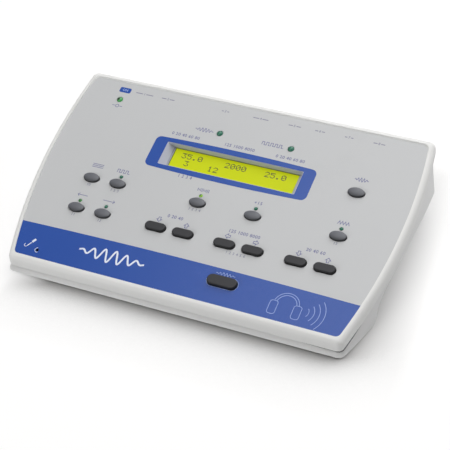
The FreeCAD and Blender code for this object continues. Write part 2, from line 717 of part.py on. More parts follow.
def make_main_board_screws():
    return Part.Compound([make_screw(x, q, screw_radius, under_plate + screw_reach, board_back)
                          for x, q in board_screw_places()])


def make_chip(x, q, width, length, height):
    """Component on the lower face of the main board."""
    return from_panel(box(x, q, -board_back - height, width, length, height))


def make_audio_chips():
    places = [chip_first_x + column * chip_pitch for column in chip_columns]
    return Part.Compound([make_chip(x, chip_q, chip_width, chip_length, chip_height) for x in places])


def make_board_capacitors():
    return Part.Compound([from_panel(rod(x, q, capacitor_radius, board_back, board_back + capacitor_height))
                          for x, q in capacitor_places])


def make_display_ribbon():
    """Flat link from the display board across the gap to the main board."""
    from_depth = display_board_top() + board_thickness
    start = glass_q - display_board_half_q + display_ribbon_lap
    end = glass_q - display_board_half_q - board_gap - main_ribbon_lap
    sag = from_depth + display_ribbon_sag
    points = [(start, from_depth), (start - ribbon_run, sag), (end + ribbon_run, sag), (end, board_back)]
    return from_panel(strip(points, display_ribbon_left, display_ribbon_width))


def strip(points, left, width):
    """Flat cable: a thin band along (q, depth) points, its ends level with them."""
    upper = [V(left, q, -depth) for q, depth in points]
    lower = [V(left, q, -depth) for q, depth in points]
    lower = [lower[0] + V(0, -ribbon_thickness, 0)] + [p + V(0, 0, ribbon_thickness) for p in lower[1:-1]] \
        + [lower[-1] + V(0, ribbon_thickness, 0)]
    face = Part.Face(Part.makePolygon(upper + lower[::-1] + [upper[0]]))
    return face.extrude(V(width, 0, 0))


def make_socket_board():
    y = bay_inner_y - socket_board_depth / 2
    width = socket_board_right - socket_board_left
    board = box((socket_board_left + socket_board_right) / 2, y - 0.2, socket_board_top - board_thickness,
                width, socket_board_depth - 0.4, board_thickness)
    holes = [post(x, y, screw_radius + 0.2, socket_board_top - 5, socket_board_top + 5)
             for x, y in socket_screw_places()]
    holes += [post(x, y, case_boss_radius + case_boss_gap, 0, big / 4) for x, y in case_places()]
    return board.cut(holes)


def make_socket_board_screws():
    screws = []
    for x, y in socket_screw_places():
        shank = post(x, y, screw_radius, socket_board_top - socket_screw_length, socket_board_top)
        head = post(x, y, screw_head_radius, socket_board_top, socket_board_top + screw_head_height)
        slot = box(x, y, socket_board_top + screw_head_height - screw_slot, 2 * screw_head_radius + 1,
                   screw_slot, 1)
        screws.append(shank.fuse(head).cut(slot))
    return Part.Compound(screws)


def make_board_ribbon():
    """Flat cable from the rear of the main board down to the socket board."""
    q = board_half_q - ribbon_inset
    y = q * cos(slope) + board_back * sin(slope)
    half_way = (plane_height(y, board_back) + socket_board_top) / 2
    end = bay_inner_y - socket_board_depth + 3.0
    t = ribbon_thickness
    route = [(y, plane_height(y, board_back)), (y - 4, half_way), (end - 1, socket_board_top + 2),
             (end, socket_board_top), (end + t, socket_board_top), (end - 1 + t, socket_board_top + 2.2),
             (y - 4 + t, half_way), (y + t, plane_height(y + t, board_back))]
    profile = [V(board_ribbon_left, along, up) for along, up in route + route[:1]]
    return Part.Face(Part.makePolygon(profile)).extrude(V(board_ribbon_width, 0, 0))


def make_case_screws():
    screws = []
    for x, y in case_places():
        seat = case_head_seat(y)
        top = min(case_meeting(y) + case_screw_length - 4.0, plane_height(y, under_plate) - 1.2)
        shank = post(x, y, screw_radius, seat, top)
        head = post(x, y, screw_head_radius, seat - screw_head_height, seat)
        slot = box(x, y, seat - screw_head_height - 0.2, 2 * screw_head_radius + 1, screw_slot, 1)
        screws.append(shank.fuse(head).cut(slot))
    return Part.Compound(screws)


# ---------------------------------------------------------------- rear sockets
def along_y(x, z, radius, y_from, y_to):
    return Part.makeCylinder(radius, y_to - y_from, V(x, y_from, z), V(0, 1, 0))


def seated_body(x, width, height, depth):
    """Socket body against the rear wall, standing on the socket board."""
    top = socket_height + height / 2
    return Part.makeBox(width, depth, top - socket_board_top,
                        V(x - width / 2, bay_inner_y - depth, socket_board_top))


def hexagon(x, z, flats, y_from, y_to):
    r = flats / 2 / cos(pi / 6)
    points = [V(x + r * cos(pi / 6 + k * pi / 3), y_from, z + r * sin(pi / 6 + k * pi / 3)) for k in range(7)]
    return Part.Face(Part.makePolygon(points)).extrude(V(0, y_to - y_from, 0))


def d_shape(x, z, width, height, slant, y_from, y_to):
    """D-shaped block: wider at the top than at the bottom."""
    hw, hh = width / 2, height / 2
    points = [V(x - hw, y_from, z + hh), V(x + hw, y_from, z + hh), V(x + hw - slant, y_from, z - hh),
              V(x - hw + slant, y_from, z - hh), V(x - hw, y_from, z + hh)]
    block = Part.Face(Part.makePolygon(points)).extrude(V(0, y_to - y_from, 0))
    level = [edge for edge in block.Edges if abs(edge.tangentAt(edge.FirstParameter).y) > 0.9]
    return block.makeFillet(slant, level)


def make_jack(x):
    body = seated_body(x, jack_body_width, jack_body_height, jack_body_depth)
    barrel = along_y(x, socket_height, jack_barrel_radius, bay_inner_y - 1, bay_y + jack_reach)
    mouth = bay_y + jack_reach
    bore = along_y(x, socket_height, jack_bore_radius, mouth - jack_bore_depth, mouth + 1)
    return body.fuse(barrel).removeSplitter().cut(bore)


def make_jack_nuts():
    nuts = []
    for name, x in jack_places:
        nut = hexagon(x, socket_height, nut_flats, bay_y, bay_y + nut_height)
        nuts.append(nut.cut(along_y(x, socket_height, jack_barrel_radius + thread_gap, bay_y - 1, bay_y + 9)))
    return Part.Compound(nuts)


def make_power_inlet():
    body = seated_body(inlet_x, inlet_width, inlet_height, inlet_depth)
    collar = along_y(inlet_x, socket_height, inlet_collar_radius, bay_inner_y - 1, bay_y + inlet_reach)
    mouth = bay_y + inlet_reach
    bore = along_y(inlet_x, socket_height, inlet_bore_radius, mouth - inlet_bore_depth, mouth + 1)
    pin = along_y(inlet_x, socket_height, inlet_pin_radius, mouth - inlet_bore_depth - 1, mouth - 1)
    return body.fuse(collar).removeSplitter().cut(bore).fuse(pin)


def make_usb_socket():
    back = bay_inner_y - usb_depth + bay_wall
    z = socket_height - usb_height / 2
    shell = Part.makeBox(usb_width, bay_y - back, usb_height, V(usb_x - usb_width / 2, back, z))
    legs = Part.makeBox(usb_width, bay_inner_y - 2 - back, z - socket_board_top + 1,
                        V(usb_x - usb_width / 2, back, socket_board_top))
    mouth = Part.makeBox(usb_mouth_width, usb_mouth_depth + 1, usb_mouth_height,
                         V(usb_x - usb_mouth_width / 2, bay_y - usb_mouth_depth,
                           socket_height - usb_mouth_height / 2))
    corners = [edge for edge in mouth.Edges if abs(edge.tangentAt(edge.FirstParameter).y) > 0.9
               and edge.BoundBox.ZMin > socket_height]
    mouth = mouth.makeChamfer(usb_corner, corners)
    tongue = Part.makeBox(usb_tongue_width, usb_mouth_depth, usb_tongue_height,
                          V(usb_x - usb_tongue_width / 2, bay_y - usb_mouth_depth - 1,
                            socket_height - usb_tongue_height / 2))
    return shell.fuse(legs).removeSplitter().cut(mouth).fuse(tongue)


def printer_pins():
    """(x, z) of the nine contacts: five above, four below."""
    half = printer_row_pitch / 2
    upper = [(printer_x + (k - 2) * printer_pin_pitch, socket_height + half) for k in range(5)]
    lower = [(printer_x + (k - 1.5) * printer_pin_pitch, socket_height - half) for k in range(4)]
    return upper + lower


def make_printer_socket():
    face = bay_inner_y
    flange = box(printer_x, face - printer_flange_thickness / 2, socket_height - printer_flange_height / 2,
                 printer_flange_width, printer_flange_thickness, printer_flange_height)
    nose = d_shape(printer_x, socket_height, printer_shell_width, printer_shell_height, printer_slant,
                   face - 0.5, bay_y + printer_reach)
    body = Part.makeBox(printer_body_width, printer_body_depth, socket_height + 4.5 - socket_board_top,
                        V(printer_x - printer_body_width / 2,
                          face - printer_flange_thickness - printer_body_depth, socket_board_top))
    socket = flange.fuse([nose, body]).removeSplitter()
    mouth = bay_y + printer_reach
    holes = [along_y(x, z, printer_pin_radius, mouth - printer_pin_depth, mouth + 1) for x, z in printer_pins()]
    holes += [along_y(printer_x + side * printer_screw_spacing / 2, socket_height, screw_radius + thread_gap,
                      face - 9, face + 1) for side in (-1, 1)]
    return socket.cut(holes)


def make_printer_posts():
    """Hexagonal lock posts on both sides of the printer socket."""
    posts = []
    for side in (-1, 1):
        x = printer_x + side * printer_screw_spacing / 2
        head = hexagon(x, socket_height, printer_post_flats, bay_y, bay_y + printer_post_height - 1)
        shank = along_y(x, socket_height, screw_radius, bay_inner_y - 4, bay_y + 1)
        thread = along_y(x, socket_height, screw_radius - 0.3, bay_y + 0.5, bay_y + printer_post_height)
        posts.append(head.fuse(shank).removeSplitter().cut(thread))
    return Part.Compound(posts)


def make_rocker_frame():
    body = box(rocker_x, bay_y - rocker_body_depth / 2, socket_height - rocker_body_height / 2,
               rocker_body_width, rocker_body_depth, rocker_body_height)
    flange = box(rocker_x, bay_y + rocker_flange_thickness / 2, socket_height - rocker_flange_height / 2,
                 rocker_flange_width, rocker_flange_thickness, rocker_flange_height)
    rim = [edge for edge in flange.Edges if edge.BoundBox.YMin > bay_y + rocker_flange_thickness - 0.01]
    flange = flange.makeFillet(0.7, rim)
    face = bay_y + rocker_flange_thickness
    pocket = box(rocker_x, face - rocker_pocket_depth / 2, socket_height - rocker_height / 2 - rocker_end_gap,
                 rocker_width + 2 * rocker_side_gap, rocker_pocket_depth + 0.02,
                 rocker_height + 2 * rocker_end_gap)
    half = rocker_width / 2 + rocker_side_gap + rocker_pin_length
    pivot = Part.makeCylinder(rocker_pin_radius + rocker_pin_gap, 2 * half,
                              V(rocker_x - half, bay_y - rocker_pivot_inset, socket_height), V(1, 0, 0))
    return body.fuse(flange).removeSplitter().cut([pocket, pivot])


def make_rocker():
    """Rocker with a dished face, lying over on its on side."""
    y = bay_y - rocker_pivot_inset
    half = rocker_height / 2
    profile = [V(0, 3.1, half), V(0, 2.0, 0), V(0, 3.1, -half), V(0, 0.6, -half + 0.3), V(0, -3.2, -half + 3.4),
               V(0, -3.2, half - 3.4), V(0, 0.6, half - 0.3), V(0, 3.1, half)]
    bar = Part.Face(Part.makePolygon(profile)).extrude(V(rocker_width, 0, 0))
    bar.translate(V(-rocker_width / 2, 0, 0))
    reach = rocker_width / 2 + rocker_side_gap + rocker_pin_length - 0.2
    pins = Part.makeCylinder(rocker_pin_radius, 2 * reach, V(-reach, 0, 0), V(1, 0, 0))
    rocker = bar.fuse(pins).removeSplitter()
    rocker.rotate(V(0, 0, 0), V(1, 0, 0), rocker_tilt)
    rocker.translate(V(rocker_x, y, socket_height))
    return rocker


def rear_cutters():
    """Holes in the rear wall for the sockets and the switch."""
    y0, y1 = bay_inner_y - 1, bay_y + 1
    cutters = [along_y(x, socket_height, jack_barrel_radius + socket_gap, y0, y1) for name, x in jack_places]
    cutters.append(along_y(inlet_x, socket_height, inlet_collar_radius + socket_gap, y0, y1))
    mid, deep = (y0 + y1) / 2, y1 - y0
    cutters.append(box(usb_x, mid, socket_height - usb_height / 2 - socket_gap, usb_width + 2 * socket_gap, deep,
                       usb_height + 2 * socket_gap))
    cutters.append(box(rocker_x, mid, socket_height - rocker_body_height / 2 - socket_gap,
                       rocker_body_width + 2 * socket_gap, deep, rocker_body_height + 2 * socket_gap))
    cutters.append(d_shape(printer_x, socket_height, printer_shell_width + 2 * socket_gap,
                           printer_shell_height + 2 * socket_gap, printer_slant, y0, y1))
    cutters += [along_y(printer_x + side * printer_screw_spacing / 2, socket_height, screw_radius + socket_gap,
                        y0, y1) for side in (-1, 1)]
    return cutters


# ---------------------------------------------------------------- microphone
def make_microphone():
    return from_panel(rod(mic_x, mic_q, mic_radius, under_plate, under_plate + mic_height))


def make_microphone_boot():
    sleeve = rod(mic_x, mic_q, mic_radius + mic_boot_wall, under_plate, under_plate + mic_height + 0.8)
    return from_panel(sleeve.cut(rod(mic_x, mic_q, mic_radius, under_plate - 1, under_plate + mic_height)))


# ---------------------------------------------------------------- all nodes
def build_nodes():
    nodes = {
        "top_cover": make_top_cover(),
        "base_cover": make_base(),
        "fascia_overlay": make_fascia(),
        "rubber_feet": make_feet(),
        "case_screws": make_case_screws(),
        "display_frame": make_display_frame(),
        "display_glass": make_display_glass(),
        "display_board": make_display_board(),
        "display_screws": make_display_screws(),
        "display_ribbon": make_display_ribbon(),
        "main_board": make_main_board(),
        "main_board_screws": make_main_board_screws(),
        "processor_chip": make_chip(processor_x, chip_q, processor_side, processor_side, processor_height),
        "audio_chips": make_audio_chips(),
        "board_capacitors": make_board_capacitors(),
        "board_ribbon": make_board_ribbon(),
        "socket_board": make_socket_board(),
        "socket_board_screws": make_socket_board_screws(),
        "jack_nuts": make_jack_nuts(),
        "power_inlet": make_power_inlet(),
        "usb_socket": make_usb_socket(),
        "printer_socket": make_printer_socket(),
        "printer_posts": make_printer_posts(),
        "power_switch_frame": make_rocker_frame(),
        "power_rocker": make_rocker(),
        "microphone_capsule": make_microphone(),
        "microphone_boot": make_microphone_boot(),
    }
    for name, x in jack_places:
        nodes[name] = make_jack(x)
    switches = []
    for keys, face, height in key_kinds:
        for name, x, q in keys:
            nodes[name] = make_cap(face, height, x, q)
            switches.append(make_switch(x, q))
    nodes["key_switches"] = Part.Compound(switches)
    for name, x, q in small_lamps:
        nodes[name] = make_lamp(small_lamp_radius, small_lamp_rise, x, q + lamp_rise)
    for name, x, q in large_lamps:
        nodes[name] = make_lamp(lamp_radius, lamp_top, x, q)
    return nodes


def main():
    os.makedirs("parts", exist_ok=True)
    for name, shape in build_nodes().items():
        shape.translate(V(0, y_shift, 0))
        shape.exportStep("parts/" + name + ".step")
        print(name, len(shape.Solids), "solids", round(shape.Volume), "mm3", shape.isValid())


main()
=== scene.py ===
import json
from math import cos, pi, radians, sin

import bmesh
import bpy
from mathutils import Matrix, Vector


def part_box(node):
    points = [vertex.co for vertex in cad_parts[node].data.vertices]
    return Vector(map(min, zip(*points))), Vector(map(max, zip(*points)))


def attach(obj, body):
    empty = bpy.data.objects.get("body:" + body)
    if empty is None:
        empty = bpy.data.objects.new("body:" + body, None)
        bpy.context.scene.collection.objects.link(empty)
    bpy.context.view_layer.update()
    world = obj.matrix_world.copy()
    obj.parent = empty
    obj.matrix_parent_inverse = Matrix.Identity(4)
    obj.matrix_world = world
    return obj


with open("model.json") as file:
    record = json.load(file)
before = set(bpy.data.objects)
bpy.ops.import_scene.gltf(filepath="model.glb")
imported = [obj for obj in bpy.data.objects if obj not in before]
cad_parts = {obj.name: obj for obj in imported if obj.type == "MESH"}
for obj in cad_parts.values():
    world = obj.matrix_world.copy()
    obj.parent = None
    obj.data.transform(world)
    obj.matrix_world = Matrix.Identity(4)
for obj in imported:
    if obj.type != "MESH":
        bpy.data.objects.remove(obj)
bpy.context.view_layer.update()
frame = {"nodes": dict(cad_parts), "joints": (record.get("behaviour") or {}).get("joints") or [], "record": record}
print("frame loaded,", len(frame["nodes"]), "nodes")

mm = 0.001

# panel coordinates are in mm: x to the right, q up the slope, h out of the printed face
panel = {
    "filmThickness": 0.4,
    "printThickness": 0.03,
    "weld": 0.002,        # the film's vertices nearer than this become one
    "faceFloor": -0.02,   # what reaches lower isn't the film's printed face
}
pressAxis = next(joint["axis"] for joint in frame["joints"] if joint["name"] == "menu_press")
panelOut = -Vector(pressAxis).normalized()
panelUp = panelOut.cross(Vector((1, 0, 0)))
filmLow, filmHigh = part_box("fascia_overlay")
panelMiddle = (filmLow + filmHigh) / 2 + panelOut * panel["filmThickness"] / 2 * mm
panelTurn = Matrix((Vector((1, 0, 0)), panelUp, panelOut)).transposed()
panelMatrix = Matrix.Translation(panelMiddle) @ panelTurn.to_4x4() @ Matrix.Scale(mm, 4)
panelInverse = panelMatrix.inverted()


def panelPoints(node):
    return [panelInverse @ vertex.co for vertex in frame["nodes"][node].data.vertices]


def panelBox(node):
    # lowest and highest corner of a CAD node in panel coordinates
    points = panelPoints(node)
    low = Vector(min(point[axis] for point in points) for axis in range(3))
    high = Vector(max(point[axis] for point in points) for axis in range(3))
    return low, high


def panelPlace(node):
    # x and q of the middle of a CAD node
    low, high = panelBox(node)
    return (low.x + high.x) / 2, (low.y + high.y) / 2


# what the pieces share
def addObject(name, data):
    added = bpy.data.objects.new(name, data)
    bpy.context.scene.collection.objects.link(added)
    return added


def makeMesh(name, bm):
    mesh = bpy.data.meshes.new(name)
    bm.to_mesh(mesh)
    bm.free()
    return mesh


def addPiece(name, bm, material, body="case", smooth=False):
    bmesh.ops.recalc_face_normals(bm, faces=bm.faces)
    mesh = makeMesh(name, bm)
    mesh.materials.append(material)
    for face in mesh.polygons:
        face.use_smooth = smooth
    piece = addObject(name, mesh)
    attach(piece, body)


def thicken(bm, thickness):
    # a flat sheet becomes a closed layer of that thickness, upwards
    sheet = bm.faces[:]
    rim = [edge for edge in bm.edges if edge.is_boundary]
    copies = bmesh.ops.duplicate(bm, geom=sheet)["vert_map"]
    for vertex in {vertex for face in sheet for vertex in face.verts}:
        copies[vertex].co.z += thickness
    for edge in rim:
        first, second = edge.verts
        bm.faces.new((first, second, copies[second], copies[first]))


def addPrint(name, bm, material):
    # a printed layer on the panel, drawn flat in panel coordinates
    thicken(bm, panel["printThickness"])
    bm.transform(panelMatrix)
    addPiece(name, bm, material)


mitreLimit = 0.35  # keeps the sharp corners of a stroke from reaching far out


def addStroke(bm, points, width, closed=False, height=0.0):
    # a line of constant width along points, with mitred corners
    points = [Vector((x, q)) for x, q in points]
    count = len(points)
    left, right = [], []
    for index, point in enumerate(points):
        steps = []
        if closed or index > 0:
            steps.append((point - points[index - 1]).normalized())
        if closed or index < count - 1:
            steps.append((points[(index + 1) % count] - point).normalized())
        along = sum(steps, Vector((0, 0))).normalized()
        across = Vector((-along.y, along.x))
        reach = across * width / 2 / max(abs(along.dot(steps[0])), mitreLimit)
        left.append(bm.verts.new((point.x + reach.x, point.y + reach.y, height)))
        right.append(bm.verts.new((point.x - reach.x, point.y - reach.y, height)))
    for index in range(count if closed else count - 1):
        following = (index + 1) % count
        bm.faces.new((right[index], right[following], left[following], left[index]))


def drawLines(bm, lines, x, q, width, closed=False, height=0.0):
    # the lines of a sign whose middle is on x and q
    for line in lines:
        addStroke(bm, [(x + px, q + pq) for px, pq in line], width, closed, height)


def addCurve(bm, curve, place=(0, 0, 0)):
    # the mesh of a curve or text, moved to place; the curve itself is removed
    holder = addObject(curve.name, curve)
    bpy.context.view_layer.update()
    mesh = bpy.data.meshes.new_from_object(holder.evaluated_get(bpy.context.evaluated_depsgraph_get()))
    mesh.transform(Matrix.Translation(place))
    bm.from_mesh(mesh)
    bpy.data.objects.remove(holder)
    bpy.data.curves.remove(curve)
    bpy.data.meshes.remove(mesh)


digits = {
    "fill": 0.73,     # share of the type size that a figure fills
    "weight": 0.05,   # how far figures are fattened
    "resolution": 3,
}


def addDigits(bm, text, x, q, height, spacing=1.0):
    # plain figures, middle on x and q
    figures = bpy.data.curves.new("figures", "FONT")
    figures.body = text
    figures.align_x = "CENTER"
    figures.align_y = "CENTER"
    figures.size = height / digits["fill"]
    figures.space_character = spacing
    figures.offset = digits["weight"]
    figures.resolution_u = digits["resolution"]
    addCurve(bm, figures, (x, q, 0))


def arcPoints(x, q, radius, fromTurn, toTurn, steps=24):
    # points on an arc, turns in degrees counted from +x
    turns = [radians(fromTurn + (toTurn - fromTurn) * step / steps) for step in range(steps + 1)]
    return [(x + radius * cos(turn), q + radius * sin(turn)) for turn in turns]


def circlePoints(x, q, radius, steps):
    return arcPoints(x, q, radius, 0, 360, steps)[:-1]


def roundedBox(x, q, halfX, halfQ, radius, bow=0.0, steps=8, slices=12):
    # outline of a rounded rectangle whose long sides may swell by bow, each then cut in slices
    points = []
    for sideX, sideQ, start in ((1, 1, 0), (-1, 1, 90), (-1, -1, 180), (1, -1, 270)):
        points += arcPoints(x + sideX * (halfX - radius), q + sideQ * (halfQ - radius), radius,
                            start, start + 90, steps)
    if not bow:
        return points
    spread = []
    for index, (px, pq) in enumerate(points):
        spread.append((px, pq))
        nextX = points[(index + 1) % len(points)][0]
        if abs(nextX - px) > halfX:
            spread += [(px + (nextX - px) * step / slices, pq) for step in range(1, slices)]
    return [(px, pq + (1 if pq > q else -1) * bow * max(0, 1 - ((px - x) / halfX) ** 2))
            for px, pq in spread]


def fillBetween(bm, *outlines):
    # a flat face inside the first closed outline, less the others
    edges = []
    for outline in outlines:
        loop = [bm.verts.new((x, q, 0)) for x, q in outline]
        edges += [bm.edges.new((loop[index - 1], loop[index])) for index in range(len(loop))]
    bmesh.ops.triangle_fill(bm, use_beauty=True, use_dissolve=False, edges=edges)


def makeWall(outer, inner, bottom, top):
    # a wall between two closed outlines, in panel coordinates
    bm = bmesh.new()
    fillBetween(bm, outer, inner)
    thicken(bm, top - bottom)
    bmesh.ops.translate(bm, verts=bm.verts, vec=(0, 0, bottom))
    return bm


# what the materials share
def tone(*levels):
    # a screen colour, 0 to 255, as Blender's linear colour
    shares = [level / 255 for level in levels]
    return (*(share / 12.92 if share <= 0.04045 else ((share + 0.055) / 1.055) ** 2.4 for share in shares), 1)


def setSockets(tree, node, values):
    # each value is a socket to link from, or a plain number or colour
    for socket, value in values.items():
        if isinstance(value, bpy.types.NodeSocket):
            tree.links.new(value, node.inputs[socket])
        else:
            node.inputs[socket].default_value = value


def addNode(tree, kind, values=None, **settings):
    node = tree.nodes.new("ShaderNode" + kind)
    for setting, value in settings.items():
        setattr(node, setting, value)
    setSockets(tree, node, values or {})
    return node


def mathNode(tree, operation, first, second):
    return addNode(tree, "Math", {0: first, 1: second}, operation=operation).outputs[0]


def mixTones(tree, factor, first, second):
    # inputs 6 and 7 of the mix node are its two colours
    return addNode(tree, "Mix", {"Factor": factor, 6: first, 7: second}, data_type="RGBA").outputs[2]


def addRange(tree, value, low, high, toLow=0.0, toHigh=1.0):
    # toLow at low and toHigh at high, held beyond them
    return addNode(tree, "MapRange", {"Value": value, "From Min": low, "From Max": high,
                                      "To Min": toLow, "To Max": toHigh}).outputs["Result"]


def newGroup(name, inputs, outputs):
    group = bpy.data.node_groups.new(name, "ShaderNodeTree")
    for label, value in inputs.items():
        socket = group.interface.new_socket(name=label, in_out="INPUT", socket_type="NodeSocketFloat")
        socket.default_value = value
    for label in outputs:
        group.interface.new_socket(name=label, in_out="OUTPUT", socket_type="NodeSocketFloat")
    return group, group.nodes.new("NodeGroupInput").outputs, group.nodes.new("NodeGroupOutput")


def buildMouldGrain():
    # fine spark-eroded texture of a moulded face, and a slow drift of its tone
    group, given, leave = newGroup("mouldGrain", {"Grains per metre": 2600.0, "Drift per metre": 18.0},
                                   ("Height", "Tone"))
    place = addNode(group, "TexCoord").outputs["Object"]
    fine = addNode(group, "TexNoise", {"Vector": place, "Scale": given["Grains per metre"],
                                       "Detail": 3.0, "Roughness": 0.62}).outputs["Fac"]
    slow = addNode(group, "TexNoise", {"Vector": place, "Scale": given["Drift per metre"],
                                       "Detail": 4.0}).outputs["Fac"]
    fineShare = 0.35
    mixed = mathNode(group, "MULTIPLY", fine, fineShare)
    drift = mathNode(group, "MULTIPLY", slow, 1 - fineShare)
    setSockets(group, leave, {"Height": fine, "Tone": mathNode(group, "ADD", mixed, drift)})
    return group


def buildBrushing():
    # short scratches along one axis, for metal
    group, given, leave = newGroup("brushing", {"Lines per metre": 9000.0}, ("Height", "Tone"))
    place = addNode(group, "TexCoord").outputs["Object"]
    drawn = addNode(group, "Mapping", {"Vector": place, "Scale": (0.06, 1.0, 1.0)}).outputs["Vector"]
    lines = addNode(group, "TexNoise", {"Vector": drawn, "Scale": given["Lines per metre"],
                                        "Detail": 2.0}).outputs["Fac"]
    setSockets(group, leave, {"Height": lines, "Tone": lines})
    return group


def buildCapShadeMask():
    # painted shade on a key's cap: mask 1 on its top and rear edge, which face the light, 0 down its front and
    # sides, which get the darker side tone as painted shade
    group, given, leave = newGroup("capShadeMask", {"Side": 0.5, "Top": 0.9}, ("Mask",))
    rearLean = 0.45
    lightFacing = (panelOut + panelUp * rearLean).normalized()
    normal = addNode(group, "TexCoord").outputs["Normal"]
    facing = addNode(group, "VectorMath", {0: normal, 1: lightFacing}, operation="DOT_PRODUCT").outputs["Value"]
    setSockets(group, leave, {"Mask": addRange(group, facing, given["Side"], given["Top"])})
    return group


mouldGrain = buildMouldGrain()
brushing = buildBrushing()
capShadeMask = buildCapShadeMask()
print("shader groups built")


def newMaterial(name):
    material = bpy.data.materials.new(name)
    material.use_nodes = True
    return material, material.node_tree, material.node_tree.nodes["Principled BSDF"]


def addBump(tree, shader, height, depth):
    bump = addNode(tree, "Bump", {"Strength": 1.0, "Distance": depth, "Height": height})
    tree.links.new(bump.outputs["Normal"], shader.inputs["Normal"])


grainSpan = (0.3, 0.7)  # the grain's tone over which the roughness goes through its range


def grainMaterial(name, look):
    # moulded or printed surface: two near tones, a roughness range and a fine grain
    material, tree, shader = newMaterial(name)
    grain = addNode(tree, "Group", {0: look["grains"]}, node_tree=look.get("group", mouldGrain)).outputs
    colour = mixTones(tree, grain["Tone"], tone(*look["dark"]), tone(*look["light"]))
    # a key's walls take the darker side tone: painted shade
    if "side" in look:
        cap = addNode(tree, "Group", node_tree=capShadeMask).outputs["Mask"]
        colour = mixTones(tree, cap, tone(*look["side"]), colour)
    setSockets(tree, shader, {
        "Base Color": colour,
        "Roughness": addRange(tree, grain["Tone"], *grainSpan, *look["rough"]),
        "Metallic": look.get("metal", 0.0),
        "Specular IOR Level": look.get("specular", 0.5),
        "Coat Weight": look.get("coat", 0.0),
        "Coat Roughness": 0.1,
    })
    addBump(tree, shader, grain["Height"], look["depth"])
    if "glow" in look:
        setSockets(tree, shader, {"Emission Color": tone(*look["glow"]),
                                  "Emission Strength": look["glowStrength"]})
    return material


# screen colours from 0 to 255, grains per metre, depth of the grain in metres
ink = {"rough": (0.5, 0.6), "grains": 6000, "depth": 0.000006}
looks = {
    "coverPlastic": {"dark": (230, 230, 228), "light": (238, 238, 236), "rough": (0.42, 0.56),
                     "grains": 2600, "depth": 0.00003},
    "basePlastic": {"dark": (227, 227, 226), "light": (235, 235, 234), "rough": (0.44, 0.58),
                    "grains": 2600, "depth": 0.00003},
    "panelFilm": {"dark": (198, 199, 200), "light": (203, 204, 205), "rough": (0.26, 0.34), "specular": 0.3,
                  "grains": 4200, "depth": 0.000012},
    "bandBlue": {"dark": (38, 78, 162), "light": (44, 84, 168), "rough": (0.22, 0.3), "specular": 0.32,
                 "grains": 4200, "depth": 0.000012},
    "inkViolet": {"dark": (104, 106, 150), "light": (116, 118, 160), **ink},
    "inkFaint": {"dark": (134, 134, 156), "light": (144, 144, 165), **ink},
    "inkWhite": {"dark": (224, 230, 244), "light": (234, 239, 250), **ink},
    "inkSky": {"dark": (150, 170, 222), "light": (160, 180, 230), **ink},
    # side: the darker tone painted on a key's walls as shade
    "keyGrey": {"dark": (93, 95, 101), "light": (104, 106, 112), "side": (60, 61, 64), "rough": (0.36, 0.5),
                "specular": 0.4, "grains": 5200, "depth": 0.00002},
    "keyBlack": {"dark": (42, 42, 45), "light": (52, 52, 55), "side": (27, 27, 28), "rough": (0.42, 0.58),
                 "specular": 0.3, "grains": 5200, "depth": 0.00002},
    "bezelGrey": {"dark": (158, 162, 172), "light": (168, 172, 182), "rough": (0.45, 0.6),
                  "grains": 3600, "depth": 0.00002},
    "linerGrey": {"dark": (186, 189, 207), "light": (194, 197, 215), "rough": (0.45, 0.6),
                  "grains": 3600, "depth": 0.00002},
    # painted shadow tone of the bead in the joint under the cover's edge
    "seamShadowGrey": {"dark": (104, 104, 106), "light": (116, 116, 118), "rough": (0.6, 0.75),
                 "grains": 2600, "depth": 0.00002},
    "footRubber": {"dark": (30, 30, 31), "light": (44, 44, 45), "rough": (0.7, 0.85),
                   "grains": 1800, "depth": 0.00006},
    "screwSteel": {"dark": (168, 168, 170), "light": (204, 204, 205), "rough": (0.24, 0.4), "metal": 1.0,
                   "grains": 7000, "depth": 0.000006, "group": brushing},
    "socketMetal": {"dark": (176, 176, 178), "light": (206, 206, 208), "rough": (0.22, 0.36), "metal": 1.0,
                    "grains": 8000, "depth": 0.000005, "group": brushing},
    "nutNickel": {"dark": (190, 188, 182), "light": (214, 212, 206), "rough": (0.14, 0.24), "metal": 1.0,
                  "grains": 8000, "depth": 0.000004, "group": brushing},
    "socketBlack": {"dark": (26, 26, 27), "light": (36, 36, 37), "rough": (0.36, 0.5),
                    "grains": 3400, "depth": 0.00002},
    "rockerBlack": {"dark": (20, 20, 21), "light": (28, 28, 29), "rough": (0.16, 0.24), "coat": 0.4,
                    "grains": 1200, "depth": 0.000008},
    "chipBlack": {"dark": (34, 34, 36), "light": (46, 46, 48), "rough": (0.5, 0.65),
                  "grains": 5200, "depth": 0.00001},
    "ribbonGrey": {"dark": (150, 152, 156), "light": (176, 178, 181), "rough": (0.4, 0.5),
                   "grains": 900, "depth": 0.00002},
    "lampDark": {"dark": (34, 108, 84), "light": (44, 122, 96), "rough": (0.3, 0.4), "coat": 0.15,
                 "grains": 900, "depth": 0.000004},
    "microphoneBlack": {"dark": (18, 18, 24), "light": (28, 28, 34), "rough": (0.6, 0.75),
                        "grains": 5200, "depth": 0.00003},
    "displayGlass": {"dark": (164, 172, 16), "light": (172, 180, 24), "rough": (0.3, 0.4), "specular": 0.12,
                     "grains": 500, "depth": 0.000002, "glow": (210, 222, 20), "glowStrength": 0.4},
    "displayDots": {"dark": (74, 78, 14), "light": (86, 90, 20), "rough": (0.3, 0.4),
                    "grains": 900, "depth": 0.000002},
}

boardLook = {
    "mask": (22, 92, 50), "maskLight": (26, 100, 56), "track": (38, 124, 70), "pad": (196, 198, 194),
    "trackScale": 220.0, "trackWidth": 0.12,
    "padScale": 260.0, "padRadius": 0.18,
    "rough": 0.32, "depth": 0.00003,
}


